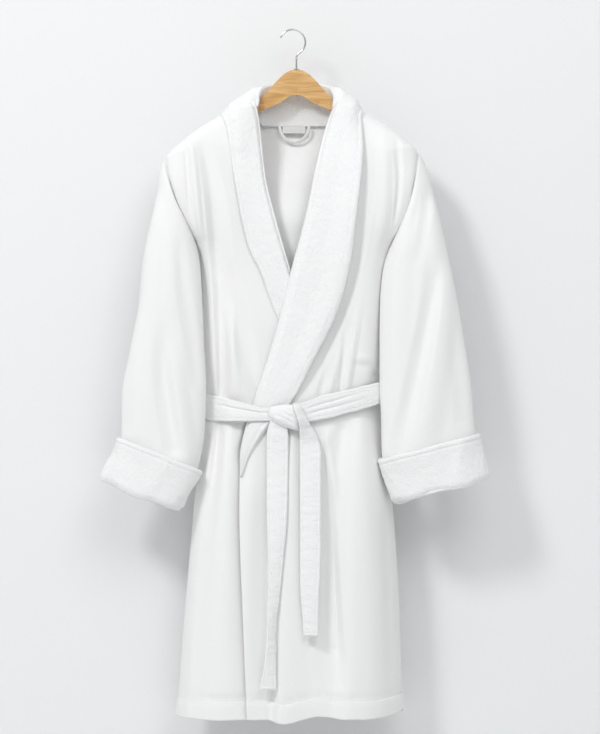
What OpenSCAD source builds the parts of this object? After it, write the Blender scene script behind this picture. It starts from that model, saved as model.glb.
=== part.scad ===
// Bathrobe on a contoured wooden hanger: lined wrap robe with shawl collar, turned-back cuffs and tied belt.
// Frame: +Z up, the wearer's front faces -Y, the wearer's left is +X. The origin is on the axis of the
// hook's stem, level with the hook's seat on a rail or peg. Left and right are the wearer's.

/* [Hanger] */
// Distance between the tips of the hanger's arms
hanger_w = 444; // [420:2:450]
// Thickness of the wood
hanger_t = 14; // [12:0.5:16]
// How far the arms sweep forward at the tips
hanger_sweep = 20; // [10:1:24]
// Diameter of the hook wire
wire_d = 3.6; // [3:0.1:4]
// Radius of the hook's bend, to the middle of the wire
hook_r = 25; // [22:1:28]

/* [Robe] */
// Drop from the hook seat to the hem
hem_drop = 1345; // [1300:5:1400]
// Height of the sewn band along the hem
hem_band_h = 33; // [25:1:40]
// Half the width of the robe at the hem
hem_half_w = 221; // [215:1:228]
// Half the width of the robe at the waist, under the belt
waist_half_w = 172; // [168:1:176]
// Height of the turned-back cuffs
cuff_h = 88; // [70:1:92]

/* [Cloth] */
// Thickness of the outer shell cloth
shell_t = 2; // [1.6:0.1:2.2]
// Thickness of the lining
lining_t = 2; // [1.6:0.1:2.2]
// Thickness of the terry collar and cuffs
terry_t = 4; // [3:0.1:4.2]
// Gap left between two layers of cloth
ply_gap = 1; // [0.8:0.1:1.2]

/* [Belt] */
// Width of the belt
belt_w = 52; // [46:1:54]
// Thickness of the belt
belt_t = 4; // [3:0.1:4.2]
// Drop of the wearer's right belt end below the knot
tail_right_l = 500; // [400:5:520]
// Drop of the wearer's left belt end below the knot
tail_left_l = 396; // [300:4:420]

/* [Hidden] */

shell_colour = "white";
terry_colour = "whitesmoke";
lining_colour = "gainsboro";
wood_colour = "burlywood";
steel_colour = "silver";

// Heights of the landmarks, measured down from the hook seat
neck_z = -140;
tip_z = -258;
armpit_z = -416;
waist_z = -735;
hem_z = -hem_drop;
back_neck_z = -186;

// Half widths of the landmarks
neck_x = 85;
tip_x = 237;
armpit_x = 187;

shoulder_round = 14;
armhole_depth = 38;
side_power = 0.62;

// Layer distances from the inner face of the lining
shell_near = lining_t + ply_gap;
shell_far = shell_near + shell_t;
terry_near = shell_far + ply_gap + 0.6;
terry_far = terry_near + terry_t;
wrap_lift = terry_far + ply_gap;
belt_near = wrap_lift + terry_far + 1.5;

small = 0.001;

// ---------------------------------------------------------------- helpers

function mix(a, b, t) = a + (b - a) * t;
function clamp01(t) = min(1, max(0, t));
function smooth(t) = let (c = clamp01(t)) c * c * (3 - 2 * c);
function unit(v) = v / norm(v);
function constant(value) = function(u, v) value;
function column(table, k) = [for (row = table) [row[0], row[k]]];

// Normal of the surface S(u, v) with u and v from 0 to 1; a closed surface wraps round in u.
function surface_normal(S, u, v, closed) =
    let (
        u0 = closed ? u - small : max(0, u - small),
        u1 = closed ? u + small : min(1, u + small),
        v0 = max(0, v - small),
        v1 = min(1, v + small)
    )
    unit(cross(S(u1, v) - S(u0, v), S(u, v1) - S(u, v0)));

// A ply of cloth: the solid between two distances from the surface S, measured along its normal.
module cloth(S, near, far, nu, nv, side = 1, closed = false) {
    cols = closed ? nu : nu + 1;
    rows = nv + 1;
    points = [
        for (layer = [0, 1], j = [0:nv], i = [0:cols - 1])
            let (
                u = i / nu,
                v = j / nv,
                away = layer == 0 ? near(u, v) : far(u, v)
            )
            S(u, v) + side * away * surface_normal(S, u, v, closed)
    ];
    function id(layer, i, j) = (layer * rows + j) * cols + (closed ? i % cols : i);
    function wound(a, b, c) = side > 0 ? [a, b, c] : [c, b, a];
    skin = [
        for (j = [0:nv - 1], i = [0:nu - 1])
            each [
                wound(id(1, i, j), id(1, i + 1, j + 1), id(1, i + 1, j)),
                wound(id(1, i, j), id(1, i, j + 1), id(1, i + 1, j + 1)),
                wound(id(0, i, j), id(0, i + 1, j), id(0, i + 1, j + 1)),
                wound(id(0, i, j), id(0, i + 1, j + 1), id(0, i, j + 1))
            ]
    ];
    ends = [
        for (i = [0:nu - 1])
            each [
                wound(id(1, i, 0), id(1, i + 1, 0), id(0, i + 1, 0)),
                wound(id(1, i, 0), id(0, i + 1, 0), id(0, i, 0)),
                wound(id(1, i + 1, nv), id(1, i, nv), id(0, i, nv)),
                wound(id(1, i + 1, nv), id(0, i, nv), id(0, i + 1, nv))
            ]
    ];
    sides = closed ? [] : [
        for (j = [0:nv - 1])
            each [
                wound(id(1, 0, j + 1), id(1, 0, j), id(0, 0, j)),
                wound(id(1, 0, j + 1), id(0, 0, j), id(0, 0, j + 1)),
                wound(id(1, nu, j), id(1, nu, j + 1), id(0, nu, j + 1)),
                wound(id(1, nu, j), id(0, nu, j + 1), id(0, nu, j))
            ]
    ];
    polyhedron(points = points, faces = concat(skin, ends, sides), convexity = 6);
}

// ---------------------------------------------------------------- shape of the body of the robe

// The tied wrap pulls the body of the robe towards the wearer's right
function middle_x(z) = lookup(z, [
    [hem_z, -13], [-960, -6], [waist_z, -6], [armpit_z, -2], [tip_z, -9], [neck_z, 0]
]);

// Half width out to the shoulder line, the armhole or the side seam
function half_width(z) = lookup(z, [
    [hem_z, hem_half_w - shell_far], [-1120, 204], [-960, 192], [waist_z, waist_half_w],
    [-560, 168], [-480, 171], [-445, 176], [armpit_z, armpit_x], [tip_z, tip_x], [neck_z, neck_x]
]);

// The shoulders follow the forward sweep of the hanger, and the body hangs straight below
function middle_y(x, z) = -hanger_sweep * pow(x / (hanger_w / 2), 2) * smooth((z + 620) / 350);

function shoulder_z(x) =
    let (tip = tip_x + sign(x) * middle_x(tip_z))
    mix(neck_z, tip_z, clamp01((abs(x) - neck_x) / (tip - neck_x)));

// Depth at the armhole edge: it closes at the side seam below the armpit
function edge_depth(z) = lookup(z, [
    [armpit_z - 60, 0], [armpit_z, 12], [(armpit_z + tip_z) / 2, armhole_depth], [tip_z, shoulder_round]
]);

function front_depth(z) = lookup(z, [
    [hem_z, 84], [-960, 68], [waist_z, 54], [armpit_z, 60], [tip_z, 46], [neck_z, 26]
]);
function back_depth(z) = lookup(z, [[hem_z, 58], [waist_z, 42], [armpit_z, 48], [tip_z, 42], [neck_z, 30]]);

function depth(x, z, deepest) =
    let (
        drop = clamp01((shoulder_z(x) - z) / shoulder_round),
        over_arm = sqrt(1 - pow(1 - drop, 2)),
        across = min(1, abs(x - middle_x(z)) / half_width(z)),
        edge = edge_depth(z)
    )
    over_arm * (edge + (deepest - edge) * pow(1 - across * across, side_power));

function front_point(x, z) = [x, middle_y(x, z) - depth(x, z, front_depth(z)), z];
function back_point(x, z) = [x, middle_y(x, z) + depth(x, z, back_depth(z)), z];

// Height of row v: the first rows turn over the shoulder, and the others spread out down to the hem
over_rows = 0.14;
function row_z(z_top, v) = v < over_rows
    ? z_top - shoulder_round * (1 - cos(90 * v / over_rows))
    : mix(z_top - shoulder_round, hem_z, pow((v - over_rows) / (1 - over_rows), 1.4));

// The seams stop just short of the shoulder line and of the side of the body
shoulder_seam_v = 0.012;
side_seam_turn = 88.6;

// Front edge of each front: the roll of the lapel down to the belt, then the plain edge to the hem
left_edge = [
    [hem_z, -98], [-846, -108], [-768, -91], [-728, -79], [-610, -42],
    [-483, -10], [-350, 24], [-266, 41], [-163, 71], [neck_z, neck_x]
];
right_edge = [
    [hem_z, 98], [-846, 95], [-728, 70], [-610, 25], [-483, -10],
    [-428, -26], [-368, -43], [-300, -60], [-167, -77], [neck_z, -neck_x]
];

// A front, from its front edge at u 0 to the side seam at u 1, and from the shoulder at v 0 to the hem
function front_surface(edge, way) = function(u, v)
    let (
        row = mix(shoulder_seam_v, 1, v),
        z_in = row_z(neck_z, row),
        z_out = row_z(tip_z, row),
        x_in = lookup(z_in, edge),
        x_out = middle_x(z_out) + way * half_width(z_out),
        across = sin(side_seam_turn * u)
    )
    front_point(mix(x_in, x_out, across), mix(z_in, z_out, across));

// The back, from the right side seam at u 0 to the left at u 1, and from the shoulders to the hem
function back_surface() = function(u, v)
    let (
        across = sin(side_seam_turn * (2 * u - 1)),
        x_top = tip_x * across + middle_x(tip_z) * abs(across),
        dip = mix(back_neck_z, neck_z, clamp01(pow(x_top / neck_x, 2))),
        z = row_z(min(dip, shoulder_z(x_top)), mix(shoulder_seam_v, 1, v))
    )
    back_point(half_width(min(z, tip_z)) * across + middle_x(min(z, tip_z)) * abs(across), z);

// How far the wearer's left front stands off the body, to pass over the right front and its lapel
function lift(p) = p.y > 0 ? 0 :
    wrap_lift * smooth((1 - abs(p.x - middle_x(p.z)) / half_width(p.z)) / 0.3) * smooth((-p.z - 170) / 110);

function lifted(S, distance) = function(u, v) distance + lift(S(u, v));

// Part of a surface, cut off at v from v0 to v1
function cut_rows(S, v0, v1) = function(u, v) S(u, mix(v0, v1, v));

module front_left_ply(near, far, nu, nv, v0 = 0) {
    S = cut_rows(front_surface(left_edge, 1), v0, 1);
    cloth(S, lifted(S, near), lifted(S, far), nu, nv, side = -1);
}

module front_right_ply(near, far, nu, nv, v0 = 0) {
    S = cut_rows(front_surface(right_edge, -1), v0, 1);
    cloth(S, constant(near), constant(far), nu, nv, side = 1);
}

module back_ply(near, far, nu, nv, v0 = 0) {
    S = cut_rows(back_surface(), v0, 1);
    cloth(S, constant(near), constant(far), nu, nv, side = 1);
}

module back_panel() color(shell_colour) back_ply(shell_near, shell_far, 20, 22);
module front_panel_left() color(shell_colour) front_left_ply(shell_near, shell_far, 12, 24);
module front_panel_right() color(shell_colour) front_right_ply(shell_near, shell_far, 12, 24);
module back_lining() color(lining_colour) back_ply(0, lining_t, 20, 22);
module front_lining_left() color(lining_colour) front_left_ply(0, lining_t, 12, 24);
module front_lining_right() color(lining_colour) front_right_ply(0, lining_t, 12, 24);

// The hem band is sewn to the outside of the lowest rows
band_t = 2.4;
hem_v = mix(over_rows, 1, pow(1 - hem_band_h / (tip_z - shoulder_round - hem_z), 1 / 1.4));
module hem_band_back() color(terry_colour) back_ply(terry_near, terry_near + band_t, 20, 1, hem_v);
module hem_band_left() color(terry_colour) front_left_ply(terry_near, terry_near + band_t, 12, 1, hem_v);
module hem_band_right() color(terry_colour) front_right_ply(terry_near, terry_near + band_t, 12, 1, hem_v);

// ---------------------------------------------------------------- collar

// Outer edge of each lapel, from where it joins the front edge up to the shoulder
left_lapel = [[-870, -100], [-795, -59], [-728, -9], [-662, 24], [-539, 81], [-401, 111], [-250, 129], [-160, 121]];
right_lapel = [[-870, 88], [-740, 30], [-569, -34], [-529, -50], [-479, -67], [-428, -91], [-307, -118],
    [-214, -133], [-176, -143]];

lapel_top_z = -158;
lapel_end_z = -862;
neck_rows = 0.36;

// Roll of the collar round the neck, as x, y, z against t: the shoulder is at 0 and the centre back at 1
neck_roll = [
    [0, 71, -26, lapel_top_z], [0.14, 73, -19, -137], [0.3, 72, -5, -123],
    [0.5, 66, 14, -118], [0.75, 42, 29, -114], [1, 0.4, 35, -112]
];
// Outer edge of the collar behind the shoulder, as x and z against t
neck_fall = [[0, 121, -170], [0.25, 122, -180], [0.55, 106, -197], [0.8, 60, -208], [1, 0.4, -211]];

// One half of the collar, from the roll at u 0 to the outer edge at u 1, from the centre back at v 0
// round the shoulder and down the front, where it lies on the front it belongs to
function collar_surface(edge, outer, way) =
    let (
        roll_x = column(neck_roll, 1),
        roll_y = column(neck_roll, 2),
        roll_z = column(neck_roll, 3),
        fall_x = column(neck_fall, 1),
        fall_z = column(neck_fall, 2),
        lapel_z = shoulder_z(lookup(neck_fall[0][2], outer))
    )
    function(u, v)
        v < neck_rows
            ? let (
                t = 1 - v / neck_rows,
                near_front = smooth(1 - t / 0.35),
                outer_x = mix(way * lookup(t, fall_x), lookup(lapel_z, outer), near_front),
                outer_z = mix(lookup(t, fall_z), lapel_z, near_front),
                front_roll = front_point(lookup(lapel_top_z, edge), lapel_top_z),
                free_roll = [way * lookup(t, roll_x), lookup(t, roll_y), lookup(t, roll_z)]
            )
            mix(mix(free_roll, front_roll, smooth(1 - t / 0.12)), back_point(outer_x, outer_z), u)
            : let (
                t = pow((v - neck_rows) / (1 - neck_rows), 1.3),
                z_roll = mix(lapel_top_z, lapel_end_z, t),
                z_outer = mix(lapel_z, lapel_end_z, t),
                x = mix(lookup(z_roll, edge), lookup(z_outer, outer), u)
            )
            front_point(x, mix(z_roll, z_outer, u));

// The collar arches where it goes over the shoulder
function arch(u, v) = 10 * sin(140 * u) * smooth(1.6 * (1 - abs(v - neck_rows + 0.05) / 0.18));

module collar_left() color(terry_colour) {
    S = collar_surface(left_edge, left_lapel, 1);
    stand = function(u, v) terry_near + arch(u, v) + lift(S(u, v));
    cloth(S, stand, function(u, v) stand(u, v) + terry_t, 6, 36, side = -1);
}

module collar_right() color(terry_colour) {
    S = collar_surface(right_edge, right_lapel, -1);
    stand = function(u, v) terry_near + arch(u, v);
    cloth(S, stand, function(u, v) stand(u, v) + terry_t, 6, 36, side = 1);
}

module collar_stand() color(terry_colour) {
    band = function(u, v)
        let (turn = mix(20, 160, u))
        [62 * cos(turn), 4 + 25 * sin(turn), mix(-114, back_neck_z - 2, v)];
    cloth(band, constant(0), constant(2.4), 20, 3, side = -1);
}

// ---------------------------------------------------------------- sleeves and cuffs

// Each sleeve in the front view, as v, then x and z of its outer edge, then x and z of its inner edge.
// Below v 0.8 the tube runs straight, so that the cuff can move along it.
straight_v = 0.8;
cuff_run = cuff_h + 14;
left_sleeve = [
    [0, 233, -260, 194, -419], [0.1, 246, -310, 193, -444], [0.22, 267, -375, 180, -484],
    [0.34, 284, -450, 170, -540], [0.48, 305, -535, 168, -610], [0.6, 322, -625, 168, -690],
    [0.7, 335, -705, 171, -765]
];
right_sleeve = [
    [0, 251, -266, 198, -421], [0.1, 258, -318, 197, -446], [0.22, 273, -385, 184, -492],
    [0.34, 287, -460, 178, -550], [0.48, 298, -545, 177, -620], [0.6, 319, -640, 177, -700],
    [0.7, 334, -720, 183, -780]
];
left_sleeve_end = [282, -904];
right_sleeve_end = [300, -915];
left_sleeve_lean = 15;
right_sleeve_lean = 22;
left_sleeve_half = 90;
right_sleeve_half = 80;

sleeve_y = [[0, -17], [0.1, -30], [0.22, -43], [0.5, -52], [1, -56]];
sleeve_depth = [[0, armhole_depth], [0.1, 34], [0.3, 30], [0.8, 29], [1, 29]];

// A tube round the arm, from the armhole at v 0 to its end at v 1; way is +1 for the wearer's left
function sleeve_surface(way) =
    let (
        end = way > 0 ? left_sleeve_end : right_sleeve_end,
        lean = way > 0 ? left_sleeve_lean : right_sleeve_lean,
        half = way > 0 ? left_sleeve_half : right_sleeve_half,
        axis = [sin(lean), -cos(lean)],
        along = half * [cos(lean), sin(lean)],
        start = end - cuff_run * axis,
        table = concat(way > 0 ? left_sleeve : right_sleeve, [
            concat([straight_v], start + along, start - along),
            concat([1], end + along, end - along)
        ]),
        outer_x = column(table, 1),
        outer_z = column(table, 2),
        inner_x = column(table, 3),
        inner_z = column(table, 4)
    )
    function(u, v)
        let (
            outer = [way * lookup(v, outer_x), 0, lookup(v, outer_z)],
            inner = [way * lookup(v, inner_x), 0, lookup(v, inner_z)],
            round = [0, lookup(v, sleeve_depth) * sin(360 * u) + lookup(v, sleeve_y), 0]
        )
        (outer + inner) / 2 + (outer - inner) / 2 * cos(360 * u) + round;

module sleeve_ply(way, near, far, nu, nv, v0 = 0)
    cloth(cut_rows(sleeve_surface(way), v0, 1), constant(near), constant(far), nu, nv, side = -way, closed = true);

module sleeve_left() color(shell_colour) sleeve_ply(1, shell_near, shell_far, 22, 15);
module sleeve_right() color(shell_colour) sleeve_ply(-1, shell_near, shell_far, 22, 15);
module sleeve_lining_left() color(lining_colour) sleeve_ply(1, 0, lining_t, 22, 15);
module sleeve_lining_right() color(lining_colour) sleeve_ply(-1, 0, lining_t, 22, 15);

cuff_v = 1 - (1 - straight_v) * cuff_h / cuff_run;

module cuff_left() color(terry_colour) sleeve_ply(1, terry_near, terry_far, 22, 2, cuff_v);
module cuff_right() color(terry_colour) sleeve_ply(-1, terry_near, terry_far, 22, 2, cuff_v);

// ---------------------------------------------------------------- belt

knot = [-22, -762];
knot_size = [58, 26, 44];
tail_w = 40;

// Height of the middle of the belt against the turn round the waist: 0 is the front, 90 the wearer's left
function belt_z(turn) = lookup(turn, [[0, -757], [20, -748], [42, -731], [90, -711], [180, -713], [270, -735],
    [330, -751], [360, -757]]);

function waist_point(turn, z) =
    let (bulge = pow(abs(cos(turn)), 2 * side_power))
    [middle_x(z) + half_width(z) * sin(turn), cos(turn) > 0 ? -front_depth(z) * bulge : back_depth(z) * bulge, z];

// The belt lies on the shell at the back, and over the wrap and its lapel at the front
function belt_stand(turn) =
    terry_near + 0.6 + (belt_near - terry_near) * smooth((cos(turn) - (turn > 180 ? 0.5 : 0.1)) / 0.35);

// The band runs from the left of the knot round the back to its right
module belt_band() color(terry_colour) {
    round = function(u) mix(6, 344, u);
    band = function(u, v) waist_point(round(u), belt_z(round(u)) + mix(belt_w / 2, -belt_w / 2, v));
    cloth(band, function(u, v) belt_stand(round(u)), function(u, v) belt_stand(round(u)) + belt_t, 56, 1, side = -1);
}

knot_y = -front_depth(knot[1]) - belt_near - knot_size.y / 2 - belt_t - 1;

module belt_knot() color(terry_colour)
    translate([knot[0], knot_y, knot[1]])
        hull()
            for (x = [-1, 1], y = [-1, 1], z = [-1, 1])
                translate([x * (knot_size.x / 2 - 9), y * (knot_size.y / 2 - 9), z * (knot_size.z / 2 - 9)])
                    sphere(r = 9, $fn = 16);

tail_top_z = knot[1] - knot_size.z / 2 - 4;

// A belt end hangs from the knot in front of the skirt: its middle goes from top_x to end_x
module belt_tail(top_x, end_x, length) color(terry_colour) {
    strip = function(u, v)
        let (
            z = mix(tail_top_z, tail_top_z - length, v),
            middle = mix(top_x, end_x, v * v)
        )
        [middle + tail_w * (u - 0.5), front_point(middle, z).y - belt_near - 2, z];
    cloth(strip, constant(0), constant(belt_t), 2, 14, side = -1);
}

module belt_tail_right() belt_tail(-37, -50, tail_right_l);
module belt_tail_left() belt_tail(28, 28, tail_left_l);

// A carrier on each side seam, sewn down above and below the belt
module belt_loop(turn) color(shell_colour) {
    half_h = belt_w / 2 + 12;
    half_turn = 4;
    strap = function(u, v)
        waist_point(turn + mix(-half_turn, half_turn, u), belt_z(turn) + mix(half_h, -half_h, v));
    over_belt = belt_stand(turn) + belt_t + 1.5;
    bow = function(u, v) mix(shell_far + ply_gap, over_belt, smooth(sin(180 * v) * 2.2));
    cloth(strap, bow, function(u, v) bow(u, v) + 1.6, 2, 12, side = -1);
}

module belt_loop_left() belt_loop(90);
module belt_loop_right() belt_loop(270);

// ---------------------------------------------------------------- small sewn pieces inside the neck

loop_r = 29;
loop_pivot = [-4, 25, back_neck_z - 4];

module hanging_loop() color(terry_colour)
    translate(loop_pivot)
        rotate([90, 0, 0])
            rotate([0, 0, 180])
                rotate_extrude(angle = 180, $fn = 64)
                    translate([loop_r, 0])
                        square([5, 2.4], center = true);

module neck_label() color(lining_colour)
    translate([-28, 27.4, back_neck_z - 20])
        cube([46, 0.8, 17]);

module care_label() color(lining_colour)
    translate([140, -0.4, -900])
        cube([34, 0.8, 56]);

// ---------------------------------------------------------------- hanger

hump_top_z = -81;
hump_bottom_z = -131;
bush_r = 4.2;
bush_bore_r = wire_d / 2 + 0.06;
bush_l = 14;
head_r = 3.4;
head_h = 2.2;
washer_h = 1.2;
stem_bottom_z = hump_top_z - bush_l - washer_h - 0.2 - head_h;
joint_l = 13;
joint_h = 32;
joint_gap = 0.1;
bond_gap = 0.05;

// Front view of the wood: a hump in the middle, and arms that taper to round tips
module hanger_outline() {
    tip_r = 10;
    tip_mid = [hanger_w / 2 - tip_r, shoulder_z(hanger_w / 2 - tip_r) - tip_r - 3];
    offset(r = 3, $fn = 32) offset(delta = -3)
        polygon([
            [0, hump_top_z], [12, hump_top_z - 1.5], [25, -90], [40, -105], [50, -116], [64, -133], [78, -147],
            [110, -165], tip_mid + [2, tip_r], tip_mid + [tip_r, 0],
            tip_mid + [0, -tip_r], [110, -190], [78, -166], [50, -154], [30, -145], [12, hump_bottom_z - 1],
            [0, hump_bottom_z]
        ]);
}

// Top view of the wood: an even thickness that sweeps forward towards the tips
module hanger_plan() {
    steps = 12;
    half = hanger_w / 2;
    function sweep(x) = -hanger_sweep * pow(x / half, 2);
    function thick(x) = mix(hanger_t / 2, hanger_t / 2 - 1.5, x / half);
    polygon(concat(
        [for (i = [0:steps]) let (x = half * i / steps) [x, sweep(x) + thick(x)]],
        [for (i = [steps:-1:0]) let (x = half * i / steps) [x, sweep(x) - thick(x)]]
    ));
}

module hanger_half() {
    intersection() {
        translate([0, 50, 0]) rotate([90, 0, 0]) linear_extrude(height = 100) hanger_outline();
        translate([0, 0, -320]) linear_extrude(height = 280) hanger_plan();
    }
}

// The two halves are glued with one tongue in the middle
module joint_tongue(gap)
    translate([-joint_l - gap, -hanger_t / 6 - gap, hump_bottom_z - 10])
        cube([joint_l + gap + 1, hanger_t / 3 + 2 * gap, joint_h + gap]);

module hook_bores() {
    translate([0, 0, hump_top_z - bush_l]) cylinder(r = bush_r, h = 40, $fn = 48);
    translate([0, 0, stem_bottom_z - 1]) cylinder(r = head_r + 0.4, h = 40, $fn = 48);
}

module hanger_arm_left() color(wood_colour)
    difference() {
        union() {
            translate([bond_gap, 0, 0]) hanger_half();
            intersection() {
                joint_tongue(0);
                translate([-joint_l - 1, -50, -200]) cube([joint_l + 2, 100, 200]);
                union() {
                    hanger_half();
                    mirror([1, 0, 0]) hanger_half();
                }
            }
        }
        hook_bores();
    }

module hanger_arm_right() color(wood_colour)
    difference() {
        mirror([1, 0, 0]) translate([bond_gap, 0, 0]) hanger_half();
        joint_tongue(joint_gap);
        hook_bores();
    }

module hook_bush() color(steel_colour)
    translate([0, 0, hump_top_z - bush_l + 0.2])
        difference() {
            union() {
                cylinder(r = bush_r - 0.05, h = bush_l, $fn = 48);
                translate([0, 0, bush_l]) cylinder(r = 6, h = 1.4, $fn = 48);
            }
            translate([0, 0, -1]) cylinder(r = bush_bore_r, h = bush_l + 4, $fn = 48);
        }

module hook_washer() color(steel_colour)
    translate([0, 0, stem_bottom_z + head_h + 0.1])
        difference() {
            cylinder(r = head_r + 0.2, h = washer_h, $fn = 48);
            translate([0, 0, -1]) cylinder(r = bush_bore_r, h = washer_h + 2, $fn = 48);
        }

// The wire: a stem on the swivel axis, a reverse bend, then the open hook
module wire_arc(centre, radius, from, sweep)
    translate([centre.x, 0, centre.y])
        rotate([90, 0, 0])
            rotate([0, 0, from])
                rotate_extrude(angle = sweep, $fn = 96)
                    translate([radius, 0])
                        circle(r = wire_d / 2, $fn = 32);

module hanger_hook() color(steel_colour) {
    wire_r = wire_d / 2;
    bend_r = 12;
    tip_turn = 157;
    hook_mid = [-7.5, -hook_r - wire_r];
    // the reverse bend touches the stem's axis and the hook's arc
    bend_mid = [bend_r, hook_mid.y - sqrt(pow(hook_r + bend_r, 2) - pow(bend_r - hook_mid.x, 2))];
    meet = atan2(bend_mid.y - hook_mid.y, bend_r - hook_mid.x);
    // the lengths of wire stop short of each other, and a bead joins them
    short = 0.3;
    bend_short = short / bend_r * 180 / PI;
    hook_short = short / hook_r * 180 / PI;
    beads = [
        [0, bend_mid.y],
        hook_mid + hook_r * [cos(meet), sin(meet)],
        hook_mid + hook_r * [cos(tip_turn), sin(tip_turn)]
    ];
    union() {
        translate([0, 0, stem_bottom_z]) cylinder(r = head_r, h = head_h, $fn = 32);
        translate([0, 0, stem_bottom_z]) cylinder(r = wire_r, h = bend_mid.y - short - stem_bottom_z, $fn = 32);
        wire_arc(bend_mid, bend_r, 180 + meet + bend_short, -meet - 2 * bend_short);
        wire_arc(hook_mid, hook_r, meet + hook_short, tip_turn - meet - hook_short);
        for (bead = beads)
            translate([bead.x, 0, bead.y]) sphere(r = wire_r + 0.15, $fn = 32);
    }
}

// ---------------------------------------------------------------- nodes

hanger_arm_left();
hanger_arm_right();
hanger_hook();
hook_bush();
hook_washer();
back_panel();
front_panel_left();
front_panel_right();
back_lining();
front_lining_left();
front_lining_right();
sleeve_left();
sleeve_right();
sleeve_lining_left();
sleeve_lining_right();
cuff_left();
cuff_right();
collar_left();
collar_right();
collar_stand();
hem_band_back();
hem_band_left();
hem_band_right();
belt_band();
belt_knot();
belt_tail_left();
belt_tail_right();
belt_loop_left();
belt_loop_right();
hanging_loop();
neck_label();
care_label();
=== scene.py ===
import math

import bmesh
import bpy
import numpy as np
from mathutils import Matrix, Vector


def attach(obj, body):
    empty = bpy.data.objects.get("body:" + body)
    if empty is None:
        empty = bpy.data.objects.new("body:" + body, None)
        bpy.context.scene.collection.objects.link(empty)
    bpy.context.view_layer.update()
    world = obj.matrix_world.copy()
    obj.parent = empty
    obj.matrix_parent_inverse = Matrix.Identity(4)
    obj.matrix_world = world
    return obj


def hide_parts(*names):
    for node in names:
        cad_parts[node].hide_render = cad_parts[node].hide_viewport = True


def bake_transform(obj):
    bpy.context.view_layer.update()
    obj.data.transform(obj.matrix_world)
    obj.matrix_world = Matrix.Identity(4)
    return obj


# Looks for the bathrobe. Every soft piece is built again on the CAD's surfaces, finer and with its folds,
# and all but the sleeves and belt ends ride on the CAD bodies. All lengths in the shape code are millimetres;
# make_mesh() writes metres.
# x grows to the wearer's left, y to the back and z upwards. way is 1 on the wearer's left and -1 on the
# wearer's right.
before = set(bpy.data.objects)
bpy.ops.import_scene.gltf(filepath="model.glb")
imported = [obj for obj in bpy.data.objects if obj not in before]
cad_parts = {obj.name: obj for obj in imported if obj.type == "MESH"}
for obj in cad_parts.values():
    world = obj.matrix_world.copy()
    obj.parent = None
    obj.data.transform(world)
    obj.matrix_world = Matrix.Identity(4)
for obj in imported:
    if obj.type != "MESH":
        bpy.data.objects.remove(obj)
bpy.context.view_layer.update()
MM = 0.001

# the body's landmarks, how round its shoulder line and its sides are, and the waist's middle and half width
NECK_Z, TIP_Z, ARMPIT_Z, WAIST_Z, HEM_Z, BACK_NECK_Z = -140, -258, -416, -735, -1345, -186
NECK_X, TIP_X, ARMPIT_X = 85, 241, 190
ROUND, SIDE_POWER = 14, 0.62
WAIST_X, WAIST_HALF = -6, 172
# how far the hem bands, the terry pieces, the left front and the belt stand off the CAD's surfaces
HEM_NEAR, TERRY_NEAR, WRAP_LIFT, BELT_NEAR = 6.6, 6.6, 11.6, 23.7

# ---------------------------------------------------------------- helpers


def mix(a, b, t):
    return a + (b - a) * t


def smooth(t):
    t = np.clip(t, 0, 1)
    return t * t * (3 - 2 * t)


def bell(t):
    """1 at t 0, nearly 0 beyond 2 on both sides."""
    return np.exp(-t ** 2)


def curve(rows, k=1):
    """A smooth curve through rows of (place, value, ...), flat beyond its ends and never overshooting."""
    rows = sorted(rows)
    x = np.array([r[0] for r in rows], float)
    y = np.array([r[k] for r in rows], float)
    h = np.diff(x)
    d = np.diff(y) / h
    m = np.zeros_like(x)
    m[0], m[-1] = d[0], d[-1]
    for i in range(1, len(x) - 1):
        if d[i - 1] * d[i] > 0:
            a, b = 2 * h[i] + h[i - 1], h[i] + 2 * h[i - 1]
            m[i] = (a + b) / (a / d[i - 1] + b / d[i])

    def value(t):
        t = np.clip(t, x[0], x[-1])
        i = np.clip(np.searchsorted(x, t, side="right") - 1, 0, len(x) - 2)
        s = (t - x[i]) / h[i]
        s2, s3 = s * s, s * s * s
        return ((2 * s3 - 3 * s2 + 1) * y[i] + (s3 - 2 * s2 + s) * h[i] * m[i]
                + (3 * s2 - 2 * s3) * y[i + 1] + (s3 - s2) * h[i] * m[i + 1])

    return value


LATTICE = np.random.RandomState(7).rand(256, 256) * 2 - 1


def noise(x, y, seed=0):
    """Smooth noise from -1 to 1 over the plane, one bump a unit."""
    x = np.asarray(x, float) + 17.3 * seed
    y = np.asarray(y, float) + 31.7 * seed
    i, j = np.floor(x).astype(int), np.floor(y).astype(int)
    a, b = x - i, y - j
    a = a * a * a * (a * (a * 6 - 15) + 10)
    b = b * b * b * (b * (b * 6 - 15) + 10)

    def at(di, dj):
        return LATTICE[(i + di) % 256, (j + dj) % 256]

    return mix(mix(at(0, 0), at(1, 0), a), mix(at(0, 1), at(1, 1), a), b)


def ridges(x, z, folds, wider=1.0, higher=1.0):
    """Sum of folds. Each is rows of (z, x, width to the left, width to the right, height)."""
    total = np.zeros(np.broadcast(x, z).shape)
    for rows in folds:
        low, high = min(r[0] for r in rows), max(r[0] for r in rows)
        d = x - curve(rows, 1)(z)
        t = np.where(d < 0, -d / curve(rows, 2)(z), d / curve(rows, 3)(z)) / wider
        ends = smooth((high - z) / 24) * (smooth((z - low) / 24) if low > HEM_Z else 1)
        total = total + higher * ends * curve(rows, 4)(z) * np.clip(1 - t * t, 0, 1) ** 2
    return total


def normals(p, closed=False):
    """Unit normals of a grid of points; closed grids wrap round in their second index."""
    dv = np.gradient(p, axis=0)
    if closed:
        du = np.roll(p, -1, axis=1) - np.roll(p, 1, axis=1)
    else:
        du = np.gradient(p, axis=1)
    n = np.cross(du, dv)
    return n / np.maximum(np.linalg.norm(n, axis=2, keepdims=True), 1e-9)


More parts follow.
